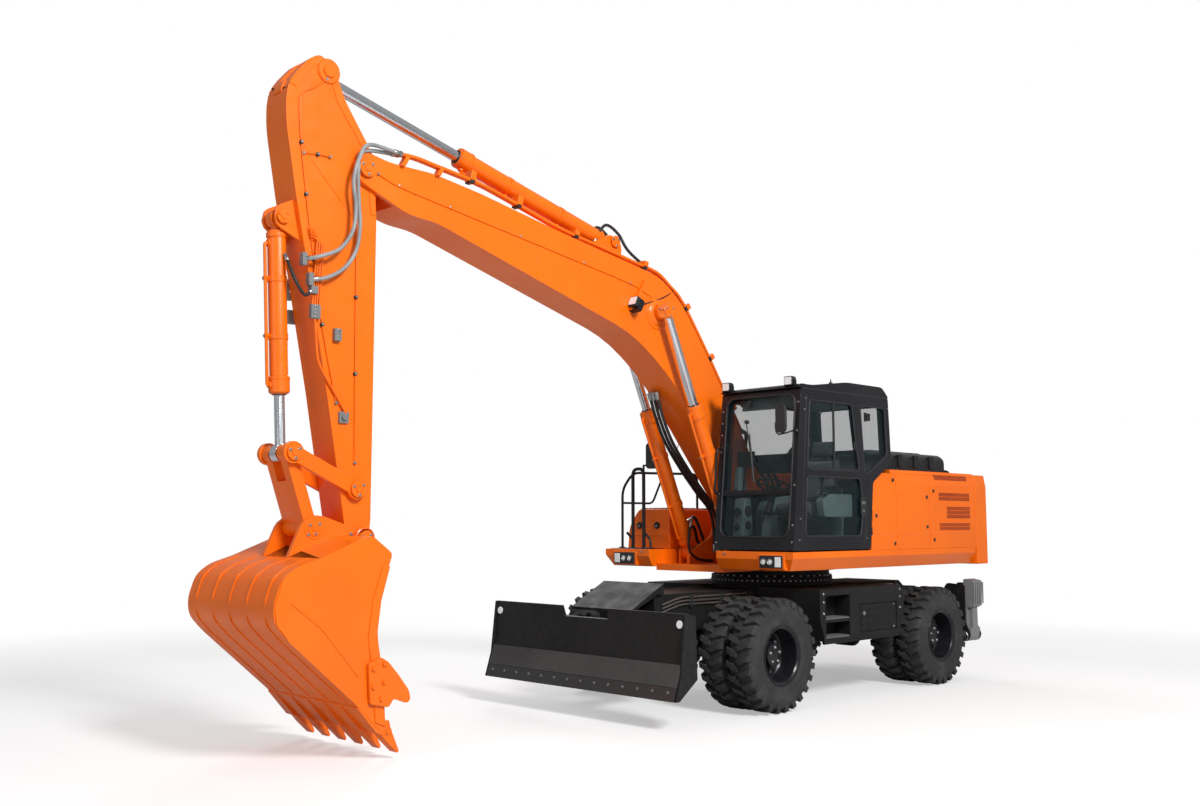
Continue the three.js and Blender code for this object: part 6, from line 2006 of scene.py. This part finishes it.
def make_arm_bosses():
    bosses = []
    for side in (1, -1):
        x = BOOM_X + side * (ARM_HALF - 0.002)
        bosses.append(disc((x, *NOSE), (side, 0, 0), 0.13, 0.006, 40, 0.3))
        place = arm_at(x, *ARM_HEEL_EYE)
        bosses.append(disc(place, (side, 0, 0), 0.10, 0.020, 36, 0.4))
        bosses.append(disc(place + Vector((side * 0.018, 0, 0)), (side, 0, 0), 0.055, 0.018, 28, 0.3))
    piece("arm_bosses", "arm", ORANGE, joined(*bosses))


def bulkhead(y, z, deep, high, out, side):
    """A small plate on the arm's side that a hose ends in."""
    return arm_side_prism(rounded(rectangle(y, z, y + deep, z + high), 0.008, 3), out, side, 0.004)


def make_hoses():
    """The hoses that cross a joint, each with a fitting at both ends on the body there."""
    make_arm_hoses()
    make_ram_hoses()
    make_boom_hoses()


def make_arm_hoses():
    outer = [(-5.38, 4.62), (-5.43, 4.42), (-5.405, 4.23), (-5.425, 4.03), (-5.54, 3.86), (-5.72, 3.77)]
    inner = [(-5.37, 4.52), (-5.36, 4.28), (-5.345, 4.08), (-5.375, 3.88), (-5.48, 3.72), (-5.64, 3.62)]
    end_x = ARM_HALF + 0.03
    for name, x, first, second, middle, last in (
            ("outer", 0.113, 0.222, (0.245, -5.28, 4.752), outer, (-5.80, 3.75)),
            ("inner", 0.083, 0.184, (0.205, -5.31, 4.70), inner, (-5.74, 3.60))):
        for side, mark in SIDES:
            run = [back_at(BOOM_X + side * first, 5.50, 0.10),
                   Vector((BOOM_X + side * second[0], *second[1:]))]
            run += [Vector((BOOM_X + side * (x - BOOM_X), y, z)) for y, z in middle]
            run.append(Vector((BOOM_X + side * end_x, *last)))
            hose_run(f"arm_hose_{name}_{mark}", "boom", "arm", run, 0.0165, BRAID)
    plates = []
    for side in (1, -1):
        plates += [bulkhead(-5.83, 3.70, 0.04, 0.10, 0.052, side),
                   bulkhead(-5.77, 3.55, 0.04, 0.10, 0.052, side)]
    piece("arm_hose_bulkheads", "arm", GREY, joined(*plates), bevel=0.003)


def make_ram_hoses():
    at = cylinder_frame(*ARM_RAM)
    for side, mark in SIDES:
        x = BOOM_X + side * 0.045
        start = at(x, 0.20, 0.082)
        run = [start, start + Vector((side * 0.01, 0.035, 0.075)), (x + side * 0.02, -2.44, 4.635),
               (x + side * 0.03, -2.28, 4.57), (x + side * 0.05, -2.13, 4.40),
               back_at(BOOM_X + side * 0.138, 2.30, 0.055)]
        hose_run(f"arm_ram_hose_{mark}", "arm_barrel", "boom", run, 0.015)

    at = cylinder_frame(*BUCKET_RAM)
    for side, mark in SIDES:
        run = [(BOOM_X + side * (ARM_HALF + 0.035), -5.73, 3.52), (BOOM_X + side * 0.20, -5.80, 3.47),
               (BOOM_X + side * 0.19, -5.87, 3.56), (BOOM_X + side * 0.14, -5.90, 3.68),
               at(BOOM_X + side * 0.085, 0.30, 0.03)]
        hose_run(f"bucket_ram_hose_{mark}", "arm", "bucket_barrel", run, 0.013)
    feeds = [bulkhead(-5.75, 3.49, 0.06, 0.06, 0.055, side) for side in (1, -1)]
    piece("bucket_hose_bulkheads", "arm", GREY, joined(*feeds), bevel=0.003)

    at = cylinder_frame(*BOOM_RAM)
    for side, mark in SIDES:
        x = BOOM_X + side * CYLINDER_X
        for number, shift in enumerate((-0.03, 0.03)):
            start = at(x + shift, 0.22 + 0.10 * number, -0.099)
            far_x = x + shift * 1.5
            run = [start, start + Vector((0, 0.10, 0.03)), (far_x, -0.62, 1.56),
                   (far_x, -0.60, DECK_TOP + 0.06), (far_x, -0.61, DECK_TOP - 0.01)]
            hose_run(f"boom_ram_hose_{mark}_{number + 1}", "boom_barrels", "upper", run, 0.017)


def make_boom_hoses():
    """Hoses from the deck to the boom's belly, and from the boom's foot down into the body."""
    for number, x in enumerate((BOOM_X - 0.15, BOOM_X - 0.10, BOOM_X - 0.05)):
        route = ((-1.60, 3.045), (-1.50, 2.80), (-1.36, 2.56), (-1.12, 2.29), (-0.88, 2.06), (-0.66, 1.86),
                 (-0.60, 1.62), (-0.60, DECK_TOP - 0.01))
        run = [(x, y, z) for y, z in route]
        hose_run(f"boom_belly_hose_{number + 1}", "boom", "upper", run, 0.017)

    for number, x in enumerate((BOOM_X - 0.12, BOOM_X - 0.045, BOOM_X + 0.045, BOOM_X + 0.12)):
        top = back_at(BOOM_X + (number - 1.5) * 0.11, 0.62, 0.040)
        run = [top, top + Vector((0, 0.10, -0.04))]
        run += [(x, y, z) for y, z in ((-0.36, 2.47), (-0.05, 2.40), (0.18, 2.18), (0.24, 1.95),
                                       (0.22, 1.80))]
        hose_run(f"boom_foot_hose_{number + 1}", "boom", "upper", run, 0.019)


def at_bucket(*points):
    """(y, z) points measured from the bucket's pin, with the bucket as it stands at rest."""
    return [(BUCKET_PIN.x + y, BUCKET_PIN.y + z) for y, z in points]


def make_bucket_details():
    make_bucket_sides()
    make_bucket_back()
    make_bucket_teeth()
    make_bucket_pins()


def make_bucket_sides():
    """Edge strips, side cutters with their bolts, and a heel strip on both sides of the bucket."""
    front = at_bucket((-0.045, -0.20), (-0.118, -0.45), (-0.152, -0.72), (-0.098, -1.00), (-0.062, -1.37),
                      (-0.150, -1.33), (-0.178, -1.00), (-0.225, -0.72), (-0.19, -0.45), (-0.11, -0.20))
    cutter = at_bucket((-0.125, -0.86), (-0.06, -0.90), (0.03, -1.00), (0.125, -1.12), (0.14, -1.19),
                       (0.11, -1.215), (-0.01, -1.17), (-0.055, -1.23), (-0.215, -1.19), (-0.235, -0.90))
    bolt_places = at_bucket((-0.10, -0.91), (-0.19, -0.94), (-0.10, -1.04), (-0.19, -1.07), (-0.12, -1.16))
    crease = at_bucket((-0.30, -0.99), (-0.62, -0.62), (-0.86, -0.44))
    heel = at_bucket((-0.88, -0.69), (-0.972, -0.58), (-0.988, -0.454), (-0.934, -0.28), (-0.905, -0.30),
                     (-0.955, -0.46), (-0.945, -0.57), (-0.855, -0.66))
    strips, bolts = [], []
    for side in (1, -1):
        x = BOOM_X + side * BUCKET_HALF
        near, far = x - side * 0.002, x + side * 0.010
        strips.append(prism(front, "X", near, far))
        strips.append(prism(rounded(cutter, 0.02, 3), "X", x + side * 0.006, x + side * 0.034))
        bolts += [bolt((x + side * 0.034, y, z), (side, 0, 0), 0.018) for y, z in bolt_places]
        strips.append(tube([(x + side * 0.001, y, z) for y, z in crease], 0.006, 6))
        strips.append(prism(heel, "X", near, far))
    piece("bucket_side_strips", "bucket", ORANGE, joined(*strips), bevel=0.003)
    piece("bucket_cutter_bolts", "bucket", ORANGE, joined(*bolts))


def spread(count, margin):
    """Places evenly spread over the bucket's width, with a margin at each side."""
    low, high = BOOM_X - BUCKET_HALF, BOOM_X + BUCKET_HALF
    return [low + margin + k * (high - low - 2 * margin) / (count - 1) for k in range(count)]


def make_bucket_back():
    """Wear strips along the bucket's floor and back, half sunk in the shell."""
    middle = [Vector(p) for p in at_bucket(
        (-0.313, -1.189), (-0.88, -0.695), (-0.9375, -0.632), (-0.9634, -0.6036), (-0.979, -0.578),
        (-0.985, -0.548), (-0.9880, -0.50), (-0.9880, -0.42), (-0.979, -0.39), (-0.953, -0.31),
        (-0.931, -0.262), (-0.90, -0.240), (-0.833, -0.193), (-0.66, -0.138))]
    outside = []
    for i, p in enumerate(middle):
        ahead = (middle[min(i + 1, len(middle) - 1)] - middle[max(i - 1, 0)]).normalized()
        outside.append(p + Vector((ahead.y, -ahead.x)) * -0.007)
    inside = [p + (p - q) for p, q in zip(middle, outside)]
    ribs = [prism(outside + inside[::-1], "X", x - 0.012, x + 0.012) for x in spread(5, 0.13)]
    piece("bucket_wear_strips", "bucket", ORANGE, joined(*ribs), bevel=0.002, smooth=40)


def make_bucket_teeth():
    """Tooth adapters with their pins, and the cutting edge between them."""
    adapters = []
    hold = at_bucket((-0.30, -1.215), (-0.27, -1.18), (-0.06, -1.335), (0.0, -1.395), (0.008, -1.43),
                     (-0.075, -1.43), (-0.13, -1.41))
    pin = at_bucket((-0.035, -1.41))[0]
    for x in spread(6, 0.06):
        adapters.append(prism(hold, "X", x - 0.056, x + 0.056))
        adapters += [disc((x + side * 0.05, *pin), (side, 0, 0), 0.016, 0.014, 16) for side in (1, -1)]
    piece("bucket_tooth_adapters", "bucket", ORANGE, joined(*adapters), bevel=0.004)
    edge = at_bucket((-0.055, -1.393), (-0.10, -1.404), (-0.30, -1.21), (-0.26, -1.175))
    half = BUCKET_HALF - 0.012
    piece("bucket_cutting_edge", "bucket", ORANGE, prism(edge, "X", BOOM_X - half, BOOM_X + half),
          bevel=0.002)


def make_bucket_pins():
    rings, bolts = [], []
    for side in (1, -1):
        x = BOOM_X + side * (ARM_HALF + 0.10 + 0.004)
        rings.append(lathe([(-0.055, 0.078), (-0.05, 0.088), (-0.01, 0.088), (-0.005, 0.078)],
                           (x, *BUCKET_PIN), (side, 0, 0), 32))
        cap, ring = pin_cap(BOOM_X + side * (ARM_HALF + 0.010 + 0.10), *BUCKET_PIN, side, 0.064)
        rings.append(cap)
        bolts.append(ring)
    link = arm_at(0, 2.86, -0.418).yz
    for side in (1, -1):
        face = BOOM_X + side * (ARM_HALF + 0.044)
        cap, ring = pin_cap(BOOM_X + side * (ARM_HALF + 0.046), *link, side, 0.066)
        rings.append(disc((face, *link), (side, 0, 0), 0.088, 0.006, 36, 0.3))
        rings.append(cap)
        bolts.append(ring)
        for place in at_bucket((-0.47, 0.035), (-0.10, 0.035)):
            bolts.append(disc((face, *place), (side, 0, 0), 0.016, 0.008, 16))
    piece("bucket_pin_rings", "bucket", ORANGE, joined(*rings))
    piece("bucket_pin_bolts", "bucket", STEEL, joined(*bolts))


def make_front():
    make_boom_details()
    make_rams()
    make_arm_details()
    make_bucket_details()
    make_hoses()


make_camera()
make_light()
make_floor()
finish_cad_nodes()
make_chassis()
make_upper()
make_cab()
make_front()


# ---------------------------------------------------------------- view transform
bpy.context.scene.view_settings.view_transform = "Standard"
